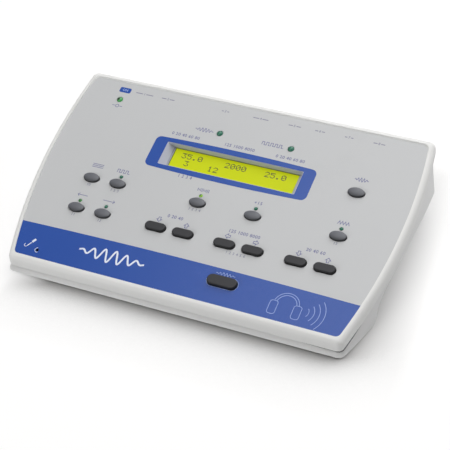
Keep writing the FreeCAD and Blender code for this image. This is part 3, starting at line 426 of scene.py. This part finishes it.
def boardMaterial(look):
    # green solder mask over copper tracks and tinned pads
    material, tree, shader = newMaterial("boardGreen")
    place = addNode(tree, "TexCoord").outputs["Object"]
    tracks = addNode(tree, "TexBrick", {
        "Vector": place, "Scale": look["trackScale"], "Mortar Size": look["trackWidth"],
        "Color1": tone(*look["mask"]), "Color2": tone(*look["maskLight"]), "Mortar": tone(*look["track"]),
    }).outputs
    pads = addNode(tree, "TexVoronoi", {"Vector": place, "Scale": look["padScale"]}).outputs["Distance"]
    onPad = mathNode(tree, "LESS_THAN", pads, look["padRadius"])
    setSockets(tree, shader, {
        "Base Color": mixTones(tree, onPad, tracks["Color"], tone(*look["pad"])),
        "Metallic": onPad,
        "Roughness": look["rough"],
    })
    addBump(tree, shader, tracks["Fac"], look["depth"])
    return material


# a lit lamp: its dark die lies off the middle, as a share of the lens radius
litLamps = {
    "power_lamp": {"die": (4, 42, 14), "rim": (60, 156, 76), "offset": (-0.55, 0.0), "glow": 0.12},
    "left_lamp": {"die": (10, 62, 26), "rim": (78, 150, 82), "offset": (-0.25, 0.0), "glow": 0.12},
    "mask_lamp": {"die": (28, 84, 14), "rim": (150, 206, 70), "offset": (-0.3, 0.25), "glow": 0.16},
}
lens = {
    "foot": 0.1,            # the lens is what stands higher over the film
    "dieEdge": (0.5, 1.1),  # radii between which the die gives way to the rim
    "rough": 0.22, "coat": 0.3,
}


def lensMaterial(node, look):
    # clear coloured lens with its dark die showing through
    material, tree, shader = newMaterial(node + "Lens")
    dome = [point for point in panelPoints(node) if point.z > lens["foot"]]
    radius = (max(point.x for point in dome) - min(point.x for point in dome)) / 2
    x, q = panelPlace(node)
    shiftX, shiftQ = look["offset"]
    die = panelMatrix @ Vector((x + shiftX * radius, q + shiftQ * radius, max(point.z for point in dome)))
    place = addNode(tree, "TexCoord").outputs["Object"]
    away = addNode(tree, "VectorMath", {0: place, 1: die}, operation="DISTANCE").outputs["Value"]
    edge = addRange(tree, away, *(radius * share * mm for share in lens["dieEdge"]))
    colour = mixTones(tree, edge, tone(*look["die"]), tone(*look["rim"]))
    setSockets(tree, shader, {
        "Base Color": colour,
        "Emission Color": colour,
        "Emission Strength": look["glow"],
        "Roughness": lens["rough"],
        "Coat Weight": lens["coat"],
    })
    return material


materials = {name: grainMaterial(name, look) for name, look in looks.items()}
materials["boardGreen"] = boardMaterial(boardLook)
for node, look in litLamps.items():
    materials[node] = lensMaterial(node, look)
print("materials built,", len(materials))

# finishes of the CAD pieces by their slots, and those of single nodes
finishes = {
    "cover_plastic": "coverPlastic",
    "base_plastic": "basePlastic",
    "panel_print": "panelFilm",
    "foot_rubber": "footRubber",
    "screw_steel": "screwSteel",
    "display_bezel": "bezelGrey",
    "display_glass": "displayGlass",
    "circuit_board": "boardGreen",
    "ribbon_grey": "ribbonGrey",
    "component_black": "chipBlack",
    "nut_nickel": "nutNickel",
    "socket_black": "socketBlack",
    "socket_metal": "socketMetal",
    "rocker_black": "rockerBlack",
    "key_grey": "keyGrey",
    "key_black": "keyBlack",
    "lamp_green": "lampDark",
}
ownFinishes = {"microphone_capsule": "microphoneBlack", **{node: node for node in litLamps}}


def dressFrame():
    slots = {part["node"]: part["material_slot"] for part in frame["record"]["subparts"]}
    for name, node in frame["nodes"].items():
        finish = ownFinishes.get(name) or finishes[slots[name]]
        if not node.material_slots:
            node.data.materials.append(None)
        for place in node.material_slots:
            place.material = materials[finish]


dressFrame()
print("CAD pieces dressed")

# blue print: the front band and the surround of the display
band = {
    "edgeQ": -51.8,   # its upper edge at the sides
    "bow": 1.5,       # how far that edge rises in the middle
    "reachX": 120.0,
    "sliceX": 8.0,
    "onCut": 0.0001,  # how near a vertex counts as on a cut,
    "onEdge": 0.001,  # and as on the upper edge
}


def filmFace():
    # the printed face of the film, in panel coordinates
    bm = bmesh.new()
    bm.from_mesh(frame["nodes"]["fascia_overlay"].data)
    bm.transform(panelInverse)
    bmesh.ops.remove_doubles(bm, verts=bm.verts, dist=panel["weld"])
    under = [face for face in bm.faces if min(vertex.co.z for vertex in face.verts) < panel["faceFloor"]]
    bmesh.ops.delete(bm, geom=under, context="FACES")
    return bm


def cutSheet(bm, place, across, clear=False):
    # a cut along a plane; clear takes away what lies beyond it
    bmesh.ops.bisect_plane(bm, geom=bm.verts[:] + bm.edges[:] + bm.faces[:], dist=band["onCut"],
                           plane_co=place, plane_no=across, clear_outer=clear)


def addBand():
    # the film's face below the band's upper edge, in slices so that the edge can bow
    bm = filmFace()
    cutSheet(bm, (0, band["edgeQ"], 0), (0, 1, 0), clear=True)
    slices = int(band["reachX"] / band["sliceX"])
    for number in range(-slices, slices + 1):
        cutSheet(bm, (number * band["sliceX"], 0, 0), (1, 0, 0))
    for vertex in bm.verts:
        vertex.co.z = 0
        if abs(vertex.co.y - band["edgeQ"]) < band["onEdge"]:
            vertex.co.y += band["bow"] * max(0, 1 - (vertex.co.x / band["reachX"]) ** 2)
    addPrint("front_band", bm, materials["bandBlue"])


surround = {
    "x": 0.6, "q": 26.3,
    "halfX": 60.3, "halfQ": 12.6,
    "bow": 1.35,
    "corner": 3.8,
}
window = {"x": 0.75, "q": 26.3, "halfX": 51.1, "halfQ": 9.6, "corner": 0.8}


def windowOutline(inset=0.0):
    return roundedBox(window["x"], window["q"], window["halfX"] - inset, window["halfQ"] - inset,
                      window["corner"])


def addSurround():
    bm = bmesh.new()
    outer = roundedBox(surround["x"], surround["q"], surround["halfX"], surround["halfQ"],
                       surround["corner"], surround["bow"])
    fillBetween(bm, outer, windowOutline())
    addPrint("display_surround", bm, materials["bandBlue"])


liner = {
    "gap": 0.04, "wall": 0.25, "top": -0.12, "bottom": -4.55,
    "leftFoot": 4.0,   # how far the foot of its left wall comes in towards the glass
}


def addLiner():
    # grey liner down the wall of the window, from the film to the display frame
    inner = windowOutline(liner["gap"] + liner["wall"])
    bm = makeWall(windowOutline(liner["gap"]), inner, liner["bottom"], liner["top"])
    leftEnd = window["x"] - window["halfX"] + window["corner"] + 2 * liner["wall"]
    innerPlaces = {(round(x, 4), round(q, 4)) for x, q in inner}
    for vertex in bm.verts:
        x, q, h = vertex.co
        if x < leftEnd and h < liner["bottom"] / 2 and (round(x, 4), round(q, 4)) in innerPlaces:
            vertex.co.x += liner["leftFoot"]
    bm.transform(panelMatrix)
    addPiece("window_liner", bm, materials["linerGrey"])


# a bead in the gap round the film, which swells to a small fillet along the rear
edgeBead = {
    "near": 0.01, "far": 0.14, "top": -0.05, "bottom": -0.35,
    "filletReach": 0.42, "filletFoot": 0.08, "filletHeight": 0.47,
    "fromQ": 60.0, "toQ": 74.0,
}


def filmOutline():
    # the film's outer edge as a closed row of points
    bm = filmFace()
    edges = [edge for edge in bm.edges if edge.is_boundary]
    start = max(edges, key=lambda edge: max(vertex.co.x for vertex in edge.verts))
    points, vertex = [], start.verts[0]
    while start:
        edges.remove(start)
        points.append((vertex.co.x, vertex.co.y))
        vertex = start.other_vert(vertex)
        start = next((edge for edge in vertex.link_edges if edge in edges), None)
    bm.free()
    return points


def grown(points, reaches):
    # a closed outline, each point moved outwards by its own reach
    points = [Vector(point) for point in points]
    middle = sum(points, Vector((0, 0))) / len(points)
    moved = []
    for index, (point, reach) in enumerate(zip(points, reaches)):
        before, after = points[index - 1], points[(index + 1) % len(points)]
        along = ((point - before).normalized() + (after - point).normalized()).normalized()
        across = Vector((along.y, -along.x))
        if across.dot(point - middle) < 0:
            across = -across
        moved.append(point + across * reach)
    return moved


def addEdgeBead():
    bm = bmesh.new()
    outline = filmOutline()
    look = edgeBead
    swell = [min(1, max(0, (q - look["fromQ"]) / (look["toQ"] - look["fromQ"]))) for x, q in outline]
    # reach and height of the four corners of its section, each with what the fillet adds
    corners = ((look["near"], -look["filletReach"], look["top"], look["filletFoot"]),
               (look["far"], 0, look["top"], look["filletHeight"]),
               (look["far"], 0, look["bottom"], 0),
               (look["near"], 0, look["bottom"], 0))
    loops = []
    for reach, moreReach, height, moreHeight in corners:
        places = grown(outline, [reach + moreReach * share for share in swell])
        loops.append([bm.verts.new((*place, height + moreHeight * share))
                      for place, share in zip(places, swell)])
    for number, loop in enumerate(loops):
        before = loops[number - 1]
        for index in range(len(loop)):
            bm.faces.new((before[index - 1], before[index], loop[index], loop[index - 1]))
    bm.transform(panelMatrix)
    addPiece("film_edge_bead", bm, materials["coverPlastic"])


seam = {
    "depth": -8.65, "radius": 0.3,
    "sideDrop": 1.2,                     # how much lower it lies where the wall faces sideways
    "fromTurn": 318.5, "toTurn": 335.0,  # seen from the panel's middle
    "farAway": 400, "steps": 116,
    "taper": 34,                         # steps over which its ends thin out
}


def addSeamShadow():
    # dark bead in the joint between cover and base, where it opens at the right front corner: a painted shadow of
    # the cover's edge on the base
    base = frame["nodes"]["base_cover"]
    curve = bpy.data.curves.new("seam", "CURVE")
    curve.dimensions = "3D"
    curve.bevel_depth = seam["radius"] * mm
    curve.bevel_resolution = 1
    curve.use_fill_caps = True
    line = curve.splines.new("POLY")
    line.points.add(seam["steps"])
    outside = arcPoints(0, 0, seam["farAway"], seam["fromTurn"], seam["toTurn"], seam["steps"])
    for step, (x, q) in enumerate(outside):
        start = panelMatrix @ Vector((x, q, seam["depth"]))
        aim = (panelMatrix @ Vector((0, 0, seam["depth"])) - start).normalized()
        sideways = abs(base.ray_cast(start, aim)[2].x)
        lower = start - panelOut * seam["sideDrop"] * sideways * mm
        line.points[step].co = (*base.ray_cast(lower, aim)[1], 1)
        line.points[step].radius = min(1, (min(step, seam["steps"] - step) + 1) / seam["taper"])
    bm = bmesh.new()
    addCurve(bm, curve)
    addPiece("case_seam_shadow", bm, materials["seamShadowGrey"], smooth=True)


collar = {"outer": 1.06, "wall": 0.12, "top": -0.06, "rise": 0.05, "steps": 28}


def addCollar():
    # black ring that lines the microphone's hole and darkens it, its foot just over the capsule
    x, q = panelPlace("microphone_capsule")
    outer = circlePoints(x, q, collar["outer"], collar["steps"])
    inner = circlePoints(x, q, collar["outer"] - collar["wall"], collar["steps"])
    bottom = panelBox("microphone_capsule")[1].z + collar["rise"]
    bm = makeWall(outer, inner, bottom, collar["top"])
    bm.transform(panelMatrix)
    addPiece("microphone_collar", bm, materials["microphoneBlack"])


addBand()
addSurround()
print("blue print added")
addLiner()
addEdgeBead()
addSeamShadow()
addCollar()
print("liner, bead, seam and collar added")


# signs, each a list of lines round its own middle
def burst(width, height, cycles, steps=48):
    # a tone burst: a wave that swells and fades
    points = []
    for step in range(steps + 1):
        along = step / steps
        points.append((width * (along - 0.5), height / 2 * sin(pi * along) * sin(2 * pi * cycles * along)))
    return [points]


def squareWave(width, height, cycles):
    points = [(-width / 2, -height / 2)]
    step = width / (2 * cycles)
    for number in range(2 * cycles):
        level = height / 2 if number % 2 == 0 else -height / 2
        x = -width / 2 + number * step
        points += [(x, level), (x + step, level)]
    return [points]


def zigzag(width, height, count):
    return [[(width * (number / count - 0.5), height / 2 * (1 if number % 2 else -1))
             for number in range(count + 1)]]


def turned(points, degrees):
    c, s = cos(radians(degrees)), sin(radians(degrees))
    return [(x * c - q * s, x * s + q * c) for x, q in points]


def blockArrow(size, turn, stemShare=0.22):
    # outline of a stubby arrow, pointing up when turn is 0
    half, stem = size / 2, size * stemShare
    shape = [(0, half), (half, 0), (stem, 0), (stem, -half), (-stem, -half), (-stem, 0), (-half, 0)]
    return [turned(shape, turn)]


def longArrow(width, height, way):
    # a shaft with a barbed head, pointing left when way is -1
    tip, barb = way * width / 2, way * (width / 2 - height / 2)
    return [[(-tip, 0), (tip, 0)], [(barb, height / 2), (tip, 0), (barb, -height / 2)]]


def menuLines(width, height):
    return [[(-width / 2, q), (width / 2, q)] for q in (height / 2, 0, -height / 2)]


def noiseBars(width, height, count, least=0.45):
    # upright bars, uneven between the least share of the height and all of it
    bars = []
    for number in range(count):
        x = width * (number / (count - 1) - 0.5)
        uneven = abs(sin(number * 2.4 + 0.7))
        tall = height / 2 * (least + (1 - least) * uneven)
        bars.append([(x, -tall), (x, tall)])
    return bars


# labels: plain figures and pictograms in place of words
labels = {
    "stroke": 0.44, "capHeight": 2.5, "spacing": 1.1,
    "smallCap": 2.0, "wideSpacing": 1.15, "faintStroke": 0.7,
    "aboveKey": 10.7, "belowKey": -5.6,
    "arrowRise": 6.5, "arrowSize": 3.6,
    "rearRowQ": 70.3, "rearDigit": 1.3,  # room for a figure in its rear mark, in cap heights
}
# the sign over each key, with its width and height
keySigns = {
    "menu_button": menuLines(8.6, 2.5),
    "pulse_button": squareWave(9.6, 2.5, 3),
    "left_button": longArrow(7.6, 2.5, -1),
    "right_button": longArrow(8.8, 2.5, 1),
    "mask_button": noiseBars(8.0, 2.8, 9),
    "bone_button": zigzag(8.2, 2.5, 8),
    "talkover_button": burst(10.0, 3.3, 5),
}
# figures over each pair of keys, and the turns of the two arrows
pairSigns = {
    "signal": ("0 20 40", 180, 0),
    "frequency": ("125 1000 8000", 90, -90),
    "masking": ("20 40 60", 180, 0),
}
# signs beside the lamps, each with its place from the lamp and whether its lines are closed
lampSigns = (
    ("present_lamp", burst(14.0, 3.4, 6, 72), -11.8, 0, False),
    ("response_lamp", squareWave(16.0, 2.5, 5), -13.3, 0, False),
    ("power_lamp", [[(-4.0, 0), (-1.8, 0)], [(1.8, 0), (4.0, 0)]], 0.4, -5.6, False),
    ("power_lamp", [circlePoints(0, 0, 1.2, 20)], 0.4, -5.6, True),
)
panelFigures = ((-40.0, 43.6, "0 20 40 60 80"), (1.0, 43.6, "125 1000 8000"),
                (38.9, 43.4, "0 20 40 60 80"), (-26.7, 10.9, "1 2 3 4"))


def addLabels():
    bm = bmesh.new()
    stroke, cap = labels["stroke"], labels["capHeight"]
    for node, lines in keySigns.items():
        x, q = panelPlace(node)
        drawLines(bm, lines, x, q + labels["aboveKey"], stroke)
    x, q = panelPlace("boost_button")
    addDigits(bm, "+15", x, q + labels["aboveKey"], cap, labels["wideSpacing"])
    for pair, (text, downTurn, upTurn) in pairSigns.items():
        downX = panelPlace(pair + "_down_button")[0]
        upX, q = panelPlace(pair + "_up_button")
        addDigits(bm, text, (downX + upX) / 2, q + labels["aboveKey"], cap, labels["spacing"])
        for x, turn in ((downX, downTurn), (upX, upTurn)):
            drawLines(bm, blockArrow(labels["arrowSize"], turn), x, q + labels["arrowRise"], stroke, True)
    for node, lines, shiftX, shiftQ, closed in lampSigns:
        x, q = panelPlace(node)
        drawLines(bm, lines, x + shiftX, q + shiftQ, stroke, closed)
    for x, q, text in panelFigures:
        addDigits(bm, text, x, q, cap, labels["spacing"])
    addPrint("panel_labels", bm, materials["inkViolet"])


# key, shift and figures of the small labels under the keys
faintLabels = (
    ("menu_button", 0.0, "10"), ("pulse_button", 0.0, "1 2 3"), ("left_button", 0.0, "11"),
    ("right_button", 0.0, "12"), ("mask_button", 0.0, "1 2 3 4"), ("bone_button", 0.0, "13"),
    ("frequency_down_button", 10.2, "1 2 3 4 5 6"),
)
# x, width and figure of each mark along the rear edge
rearLabels = (
    (-84.3, 13.7, "1"), (-65.5, 10.0, "2"), (-20.5, 5.6, "3"), (6.5, 11.4, "4"), (31.9, 9.0, "5"),
    (50.7, 7.2, "6"), (71.9, 6.2, "7"), (93.6, 8.4, "8"),
)


def addFaintLabels():
    bm = bmesh.new()
    cap = labels["smallCap"]
    for node, shift, text in faintLabels:
        x, q = panelPlace(node)
        addDigits(bm, text, x + shift, q + labels["belowKey"], cap, labels["wideSpacing"])
    for x, width, text in rearLabels:
        addDigits(bm, text, x, labels["rearRowQ"], cap)
        dash = (width - cap * labels["rearDigit"]) / 2
        dashes = [((side * width / 2, 0), (side * (width / 2 - dash), 0)) for side in (-1, 1)]
        drawLines(bm, dashes, x, labels["rearRowQ"], labels["faintStroke"])
    addPrint("panel_small_labels", bm, materials["inkFaint"])


addLabels()
addFaintLabels()
print("labels added")

# marks on the blue band and the badge over the power lamp
badge = {"x": -99.8, "q": 70.3, "halfX": 4.4, "halfQ": 2.2, "corner": 1.1, "capHeight": 1.9}


def addBadge():
    bm = bmesh.new()
    outline = roundedBox(badge["x"], badge["q"], badge["halfX"], badge["halfQ"], badge["corner"])
    bm.faces.new([bm.verts.new((x, q, 0)) for x, q in outline])
    addPrint("power_badge", bm, materials["bandBlue"])
    bm = bmesh.new()
    addDigits(bm, "ON", badge["x"], badge["q"], badge["capHeight"], labels["spacing"])
    bmesh.ops.translate(bm, verts=bm.verts, vec=(0, 0, panel["printThickness"]))
    addPrint("power_badge_marks", bm, materials["inkSky"])


bandMarks = {
    "waveX": -49.6, "waveQ": -62.4, "waveWidth": 49.0, "waveHeight": 9.6, "waveCycles": 6, "waveSteps": 144,
    "waveStroke": 1.3,
    "micX": -109.6, "micQ": -67.6, "micTurn": -32,
    "holeRing": 1.7, "holeTurns": (95, 300), "holeStroke": 0.4,
}
# head, handle and cord of the microphone, each with its width
micLines = (
    (((0, 4.6), (0, 1.4)), 1.7),
    (((0, 0.9), (0, -2.9)), 0.7),
    (arcPoints(-1.2, -3.0, 1.2, 0, -200, 12), 0.4),
)


def addBandMarks():
    # a tone burst, a microphone and a ring round the microphone's hole
    bm = bmesh.new()
    lift, marks = panel["printThickness"], bandMarks
    wave = burst(marks["waveWidth"], marks["waveHeight"], marks["waveCycles"], marks["waveSteps"])
    drawLines(bm, wave, marks["waveX"], marks["waveQ"], marks["waveStroke"], height=lift)
    for line, width in micLines:
        drawLines(bm, [turned(line, marks["micTurn"])], marks["micX"], marks["micQ"], width, height=lift)
    ring = arcPoints(*panelPlace("microphone_capsule"), marks["holeRing"], *marks["holeTurns"])
    addStroke(bm, ring, marks["holeStroke"], height=lift)
    addPrint("band_marks", bm, materials["inkWhite"])


presentRing = {
    "capHalfX": 10.6, "capHalfQ": 3.9,   # of the cap over the film; its flange below is wider
    "gap": 0.55, "stroke": 0.3, "cornerSteps": 12,
    "waveWidth": 13.6, "waveHeight": 2.3, "waveCycles": 6, "waveSteps": 72, "waveRise": 6.1,
    "waveStroke": 0.36,
}


def addPresentRing():
    # the outline round the present key and the tone burst over it
    bm = bmesh.new()
    lift, marks = panel["printThickness"], presentRing
    x, q = panelPlace("present_button")
    halfX, halfQ = marks["capHalfX"] + marks["gap"], marks["capHalfQ"] + marks["gap"]
    ring = roundedBox(x, q, halfX, halfQ, halfQ, steps=marks["cornerSteps"])
    addStroke(bm, ring, marks["stroke"], True, lift)
    wave = burst(marks["waveWidth"], marks["waveHeight"], marks["waveCycles"], marks["waveSteps"])
    drawLines(bm, wave, x, q + marks["waveRise"], marks["waveStroke"], height=lift)
    addPrint("present_ring", bm, materials["inkSky"])


outlineMarks = {
    "stroke": 0.42,
    "headX": 77.6, "headQ": -64.4, "headRadius": 8.6, "bandDepth": 1.7, "headTurns": (8, 172),
    "cupOut": 8.2, "cupDrop": 3.6, "cupHalfX": 2.7, "cupHalfQ": 4.9, "cupCorner": 1.7,
    "soundX": 89.2, "soundQ": -66.0, "soundStart": 4.4, "soundStep": 3.6, "soundCount": 4,
    "soundTurns": (-42, 42),
}


def addOutlineMarks():
    # headphones and sound arcs as thin outlines
    bm = bmesh.new()
    lift, marks = panel["printThickness"], outlineMarks
    x, q = marks["headX"], marks["headQ"]
    for radius in (marks["headRadius"], marks["headRadius"] - marks["bandDepth"]):
        addStroke(bm, arcPoints(x, q, radius, *marks["headTurns"]), marks["stroke"], height=lift)
    for side in (-1, 1):
        cup = roundedBox(x + side * marks["cupOut"], q - marks["cupDrop"],
                         marks["cupHalfX"], marks["cupHalfQ"], marks["cupCorner"])
        addStroke(bm, cup, marks["stroke"], True, lift)
    for number in range(marks["soundCount"]):
        radius = marks["soundStart"] + marks["soundStep"] * number
        arc = arcPoints(marks["soundX"], marks["soundQ"], radius, *marks["soundTurns"])
        addStroke(bm, arc, marks["stroke"], height=lift)
    addPrint("band_outlines", bm, materials["inkSky"])


addBadge()
addBandMarks()
addPresentRing()
addOutlineMarks()
print("marks added")

# characters of the display, and a dark line round its glass: painted shadow of the frame's edge
characters = {
    "dotX": 0.66, "dotQ": 0.6,
    "pitchX": 0.68, "pitchQ": 0.62,
    "glyphPitch": 4.12,
    "thickness": 0.02,
    "rows": ((28.45, ((-38.6, "35.0"), (-5.6, "2000"), (24.2, "25.0"))),
             (22.55, ((-34.6, "3"), (-16.4, "12")))),
}
glassEdgeShade = {"x": 1.7, "q": 27.7, "halfX": 46.55, "halfQ": 7.75, "corner": 0.3, "stroke": 0.36}
dotGlyphs = {
    "0": (".###.", "#...#", "#..##", "#.#.#", "##..#", "#...#", ".###."),
    "1": ("..#..", ".##..", "..#..", "..#..", "..#..", "..#..", ".###."),
    "2": (".###.", "#...#", "....#", "...#.", "..#..", ".#...", "#####"),
    "3": ("#####", "...#.", "..#..", "...#.", "....#", "#...#", ".###."),
    "5": ("#####", "#....", "####.", "....#", "....#", "#...#", ".###."),
    ".": (".....", ".....", ".....", ".....", ".....", ".##..", ".##.."),
}


def dotPlaces():
    # lower left corner of every dot that is on
    for base, groups in characters["rows"]:
        for start, text in groups:
            for place, glyph in enumerate(text):
                for row, line in enumerate(reversed(dotGlyphs[glyph])):
                    for column, mark in enumerate(line):
                        if mark == "#":
                            yield (start + place * characters["glyphPitch"] + column * characters["pitchX"],
                                   base + row * characters["pitchQ"])


def addCharacters():
    bm = bmesh.new()
    face = panelBox("display_glass")[1].z
    for x, q in dotPlaces():
        right, top = x + characters["dotX"], q + characters["dotQ"]
        corners = ((x, q), (right, q), (right, top), (x, top))
        bm.faces.new([bm.verts.new((*corner, face)) for corner in corners])
    # the dark line round the glass is a painted shadow of the frame's edge, in the dots' colour
    edge = roundedBox(glassEdgeShade["x"], glassEdgeShade["q"], glassEdgeShade["halfX"], glassEdgeShade["halfQ"], glassEdgeShade["corner"])
    addStroke(bm, edge, glassEdgeShade["stroke"], True, face)
    thicken(bm, characters["thickness"])
    bm.transform(panelMatrix)
    addPiece("display_characters", bm, materials["displayDots"])


addCharacters()
print("display characters added")

# rear: numbers over the sockets, marks of the switch, face of the printer socket
rear = {
    "capHeight": 2.5,
    "rise": 10.2,        # of the numbers over the middle of the sockets
    "thickness": 0.08,
    "castFrom": 0.3,     # metres behind the case, to find its rear face from
    "markStroke": 0.5, "markRise": 4.6, "markHeight": 2.6,
    "numbers": (("response_jack", "1"), ("power_inlet", "2"), ("usb_socket", "3"), ("printer_socket", "4"),
                ("insert_jack", "5"), ("bone_jack", "6"), ("left_jack", "7"), ("right_jack", "8")),
}


def rearMatrix(node, x, z):
    # frame on the rear face of a CAD node at x and z: right as seen from behind, up, outwards
    behind = Vector((x, rear["castFrom"], z))
    place, out = frame["nodes"][node].ray_cast(behind, Vector((0, -1, 0)))[1:3]
    up = (Vector((0, 0, 1)) - out * out.z).normalized()
    turn = Matrix((up.cross(out), up, out)).transposed()
    return Matrix.Translation(place) @ turn.to_4x4() @ Matrix.Scale(mm, 4)


def rearMiddle(node):
    low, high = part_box(node)
    return (low.x + high.x) / 2


def addRearNumbers():
    low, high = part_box("power_inlet")
    z = (low.z + high.z) / 2 + rear["rise"] * mm
    bm = bmesh.new()
    for node, text in rear["numbers"]:
        part = bmesh.new()
        addDigits(part, text, 0, 0, rear["capHeight"])
        thicken(part, rear["thickness"])
        part.transform(rearMatrix("base_cover", rearMiddle(node), z))
        mesh = makeMesh("number", part)
        bm.from_mesh(mesh)
        bpy.data.meshes.remove(mesh)
    addPiece("rear_numbers", bm, materials["inkViolet"])


def addRockerMarks():
    # a bar for on and a ring for off
    low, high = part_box("power_rocker")
    x, z = (low.x + high.x) / 2, (low.z + high.z) / 2
    half = rear["markHeight"] / 2
    for name, side, line in (("rocker_bar", 1, [(0, -half), (0, half)]),
                             ("rocker_ring", -1, circlePoints(0, 0, half, 24))):
        bm = bmesh.new()
        addStroke(bm, line, rear["markStroke"], side < 0)
        thicken(bm, rear["thickness"])
        bm.transform(rearMatrix("power_rocker", x, z + side * rear["markRise"] * mm))
        addPiece(name, bm, materials["inkWhite"], body="rocker")


contactFace = {
    "halfX": 7.3, "halfZ": 3.1, "slant": 1.2, "corner": 1.1, "cornerSteps": 6,
    "holeRadius": 0.55, "holeSteps": 16, "pitch": 2.77, "rowGap": 2.84,
    "rows": ((1, 5), (-1, 4)),   # side and count of the holes in each row
}


def addContactFace():
    # black insulator of the printer socket, with its nine contact holes
    low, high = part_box("power_inlet")
    z = (low.z + high.z) / 2
    look = contactFace
    halfX, halfZ, slant = look["halfX"], look["halfZ"], look["slant"]
    corners = [Vector(corner) for corner in ((-halfX, halfZ), (halfX, halfZ),
                                             (halfX - slant, -halfZ), (slant - halfX, -halfZ))]
    outline = []
    for index, point in enumerate(corners):
        first, last = (point + (other - point).normalized() * look["corner"]
                       for other in (corners[index - 1], corners[(index + 1) % 4]))
        shares = [step / look["cornerSteps"] for step in range(look["cornerSteps"] + 1)]
        outline += [tuple(first.lerp(point, share).lerp(point.lerp(last, share), share)) for share in shares]
    holes = [circlePoints((number - (count - 1) / 2) * look["pitch"], side * look["rowGap"] / 2,
                          look["holeRadius"], look["holeSteps"])
             for side, count in look["rows"] for number in range(count)]
    bm = bmesh.new()
    fillBetween(bm, outline, *holes)
    thicken(bm, rear["thickness"])
    bm.transform(rearMatrix("printer_socket", rearMiddle("printer_socket"), z))
    addPiece("printer_contact_face", bm, materials["socketBlack"])


addRearNumbers()
addRockerMarks()
addContactFace()
print("rear details added")

# floor, light and camera
studio = {
    "floorSize": 8.0,
    "floorDrop": 0.0001,              # clear of the feet
    "floorBounce": (238, 238, 239),   # the floor as light leaves it
    "floorSeen": (164, 163, 162),     # its shaded tone before the white is added
    "floorWhite": 0.675,              # white added where nothing stands near
    "contactReach": 0.055,            # metres over which the floor is painted darker near the case
    "openFloor": (0.60, 1.0),         # from no white to all of it, as a share of open sky
    "floorCurve": 1.35,               # how slowly the shade gives way to the white
    "nearFloor": 0.04,                # share of the white kept right at the case
    "leftSide": (-0.088, -0.120),     # the dark edge fades out between these on the left,
    "rightSide": (0.102, 0.153),      # and between these on the right,
    "rightSlant": 0.17,               # there sooner the further to the rear
    "worldGloss": 0.5,                # what glossy faces see of the white room
    "distance": 1.6,                  # of the lights
}
# turn and height as angles in degrees, turn counted from the right of the case; size in metres
softLights = {
    "over_light": {"turn": 60, "height": 87, "size": 1.4, "power": 13.4},
    "back_light": {"turn": 85, "height": 45, "size": 1.2, "power": 11.6},
    "front_light": {"turn": 240, "height": 14, "size": 0.6, "power": 6.8},
    "front_high_light": {"turn": 240, "height": 60, "size": 0.8, "power": 2.0},
    "right_light": {"turn": 30, "height": 30, "size": 0.8, "power": 4.6},
}


def addFloor():
    bm = bmesh.new()
    half = studio["floorSize"] / 2
    corners = ((-half, -half), (half, -half), (half, half), (-half, half))
    bm.faces.new([bm.verts.new((x, y, 0)) for x, y in corners])
    material, tree, shader = newMaterial("floorWhite")
    # the camera sees a painted contact shadow: the shaded tone stays near the case, by ambient occlusion and by x,
    # and white is added away from it
    seen = addNode(tree, "LightPath").outputs["Is Camera Ray"]
    near = addNode(tree, "AmbientOcclusion", {"Distance": studio["contactReach"]}).outputs["AO"]
    place = addNode(tree, "TexCoord").outputs["Object"]
    split = addNode(tree, "SeparateXYZ", {"Vector": place}).outputs
    openSky = addRange(tree, near, *studio["openFloor"])
    openSky = mathNode(tree, "POWER", openSky, studio["floorCurve"])
    openSky = mathNode(tree, "MAXIMUM", openSky, studio["nearFloor"])
    leftOpen = addRange(tree, split["X"], *studio["leftSide"])
    towardsRear = mathNode(tree, "MULTIPLY", split["Y"], studio["rightSlant"])
    rightOpen = addRange(tree, mathNode(tree, "ADD", split["X"], towardsRear), *studio["rightSide"])
    white = mathNode(tree, "MAXIMUM", openSky, mathNode(tree, "MAXIMUM", leftOpen, rightOpen))
    lift = mathNode(tree, "MULTIPLY", white, studio["floorWhite"])
    setSockets(tree, shader, {
        "Base Color": mixTones(tree, seen, tone(*studio["floorBounce"]), tone(*studio["floorSeen"])),
        "Roughness": 0.9,
        "Specular IOR Level": 0.0,
        "Emission Color": (1, 1, 1, 1),
        "Emission Strength": mathNode(tree, "MULTIPLY", seen, lift),
    })
    mesh = makeMesh("floor", bm)
    mesh.materials.append(material)
    floor = addObject("floor", mesh)
    floor.location.z = -studio["floorDrop"]


def addWorld():
    world = bpy.data.worlds.new("studio")
    bpy.context.scene.world = world
    world.use_nodes = True
    tree = world.node_tree
    path = addNode(tree, "LightPath").outputs
    seen = mathNode(tree, "MAXIMUM", path["Is Camera Ray"], path["Is Transmission Ray"])
    gloss = mathNode(tree, "MULTIPLY", path["Is Glossy Ray"], studio["worldGloss"])
    setSockets(tree, tree.nodes["Background"], {"Color": (1, 1, 1, 1),
                                                "Strength": mathNode(tree, "MAXIMUM", seen, gloss)})


def addSoftLight(name, look):
    turn, height = radians(look["turn"]), radians(look["height"])
    away = Vector((cos(height) * cos(turn), cos(height) * sin(turn), sin(height)))
    light = bpy.data.lights.new(name, "AREA")
    light.shape = "DISK"
    light.size = look["size"]
    light.energy = look["power"]
    lamp = addObject(name, light)
    lamp.location = away * studio["distance"]
    lamp.rotation_euler = (-away).to_track_quat("-Z", "Y").to_euler()


camera = {
    "place": (0.36963, -0.68290, 0.67079),
    "turn": (49.5223, 4.1271, 24.5284),  # degrees
    "lens": 118.88, "sensor": 36.0,
}


def addCamera():
    data = bpy.data.cameras.new("camera")
    data.lens = camera["lens"]
    data.sensor_width = camera["sensor"]
    eye = addObject("camera", data)
    eye.location = camera["place"]
    eye.rotation_euler = [radians(turn) for turn in camera["turn"]]
    bpy.context.scene.camera = eye


addFloor()
addWorld()
for name, look in softLights.items():
    addSoftLight(name, look)
addCamera()
bpy.context.scene.view_settings.view_transform = "Standard"
print("studio ready")
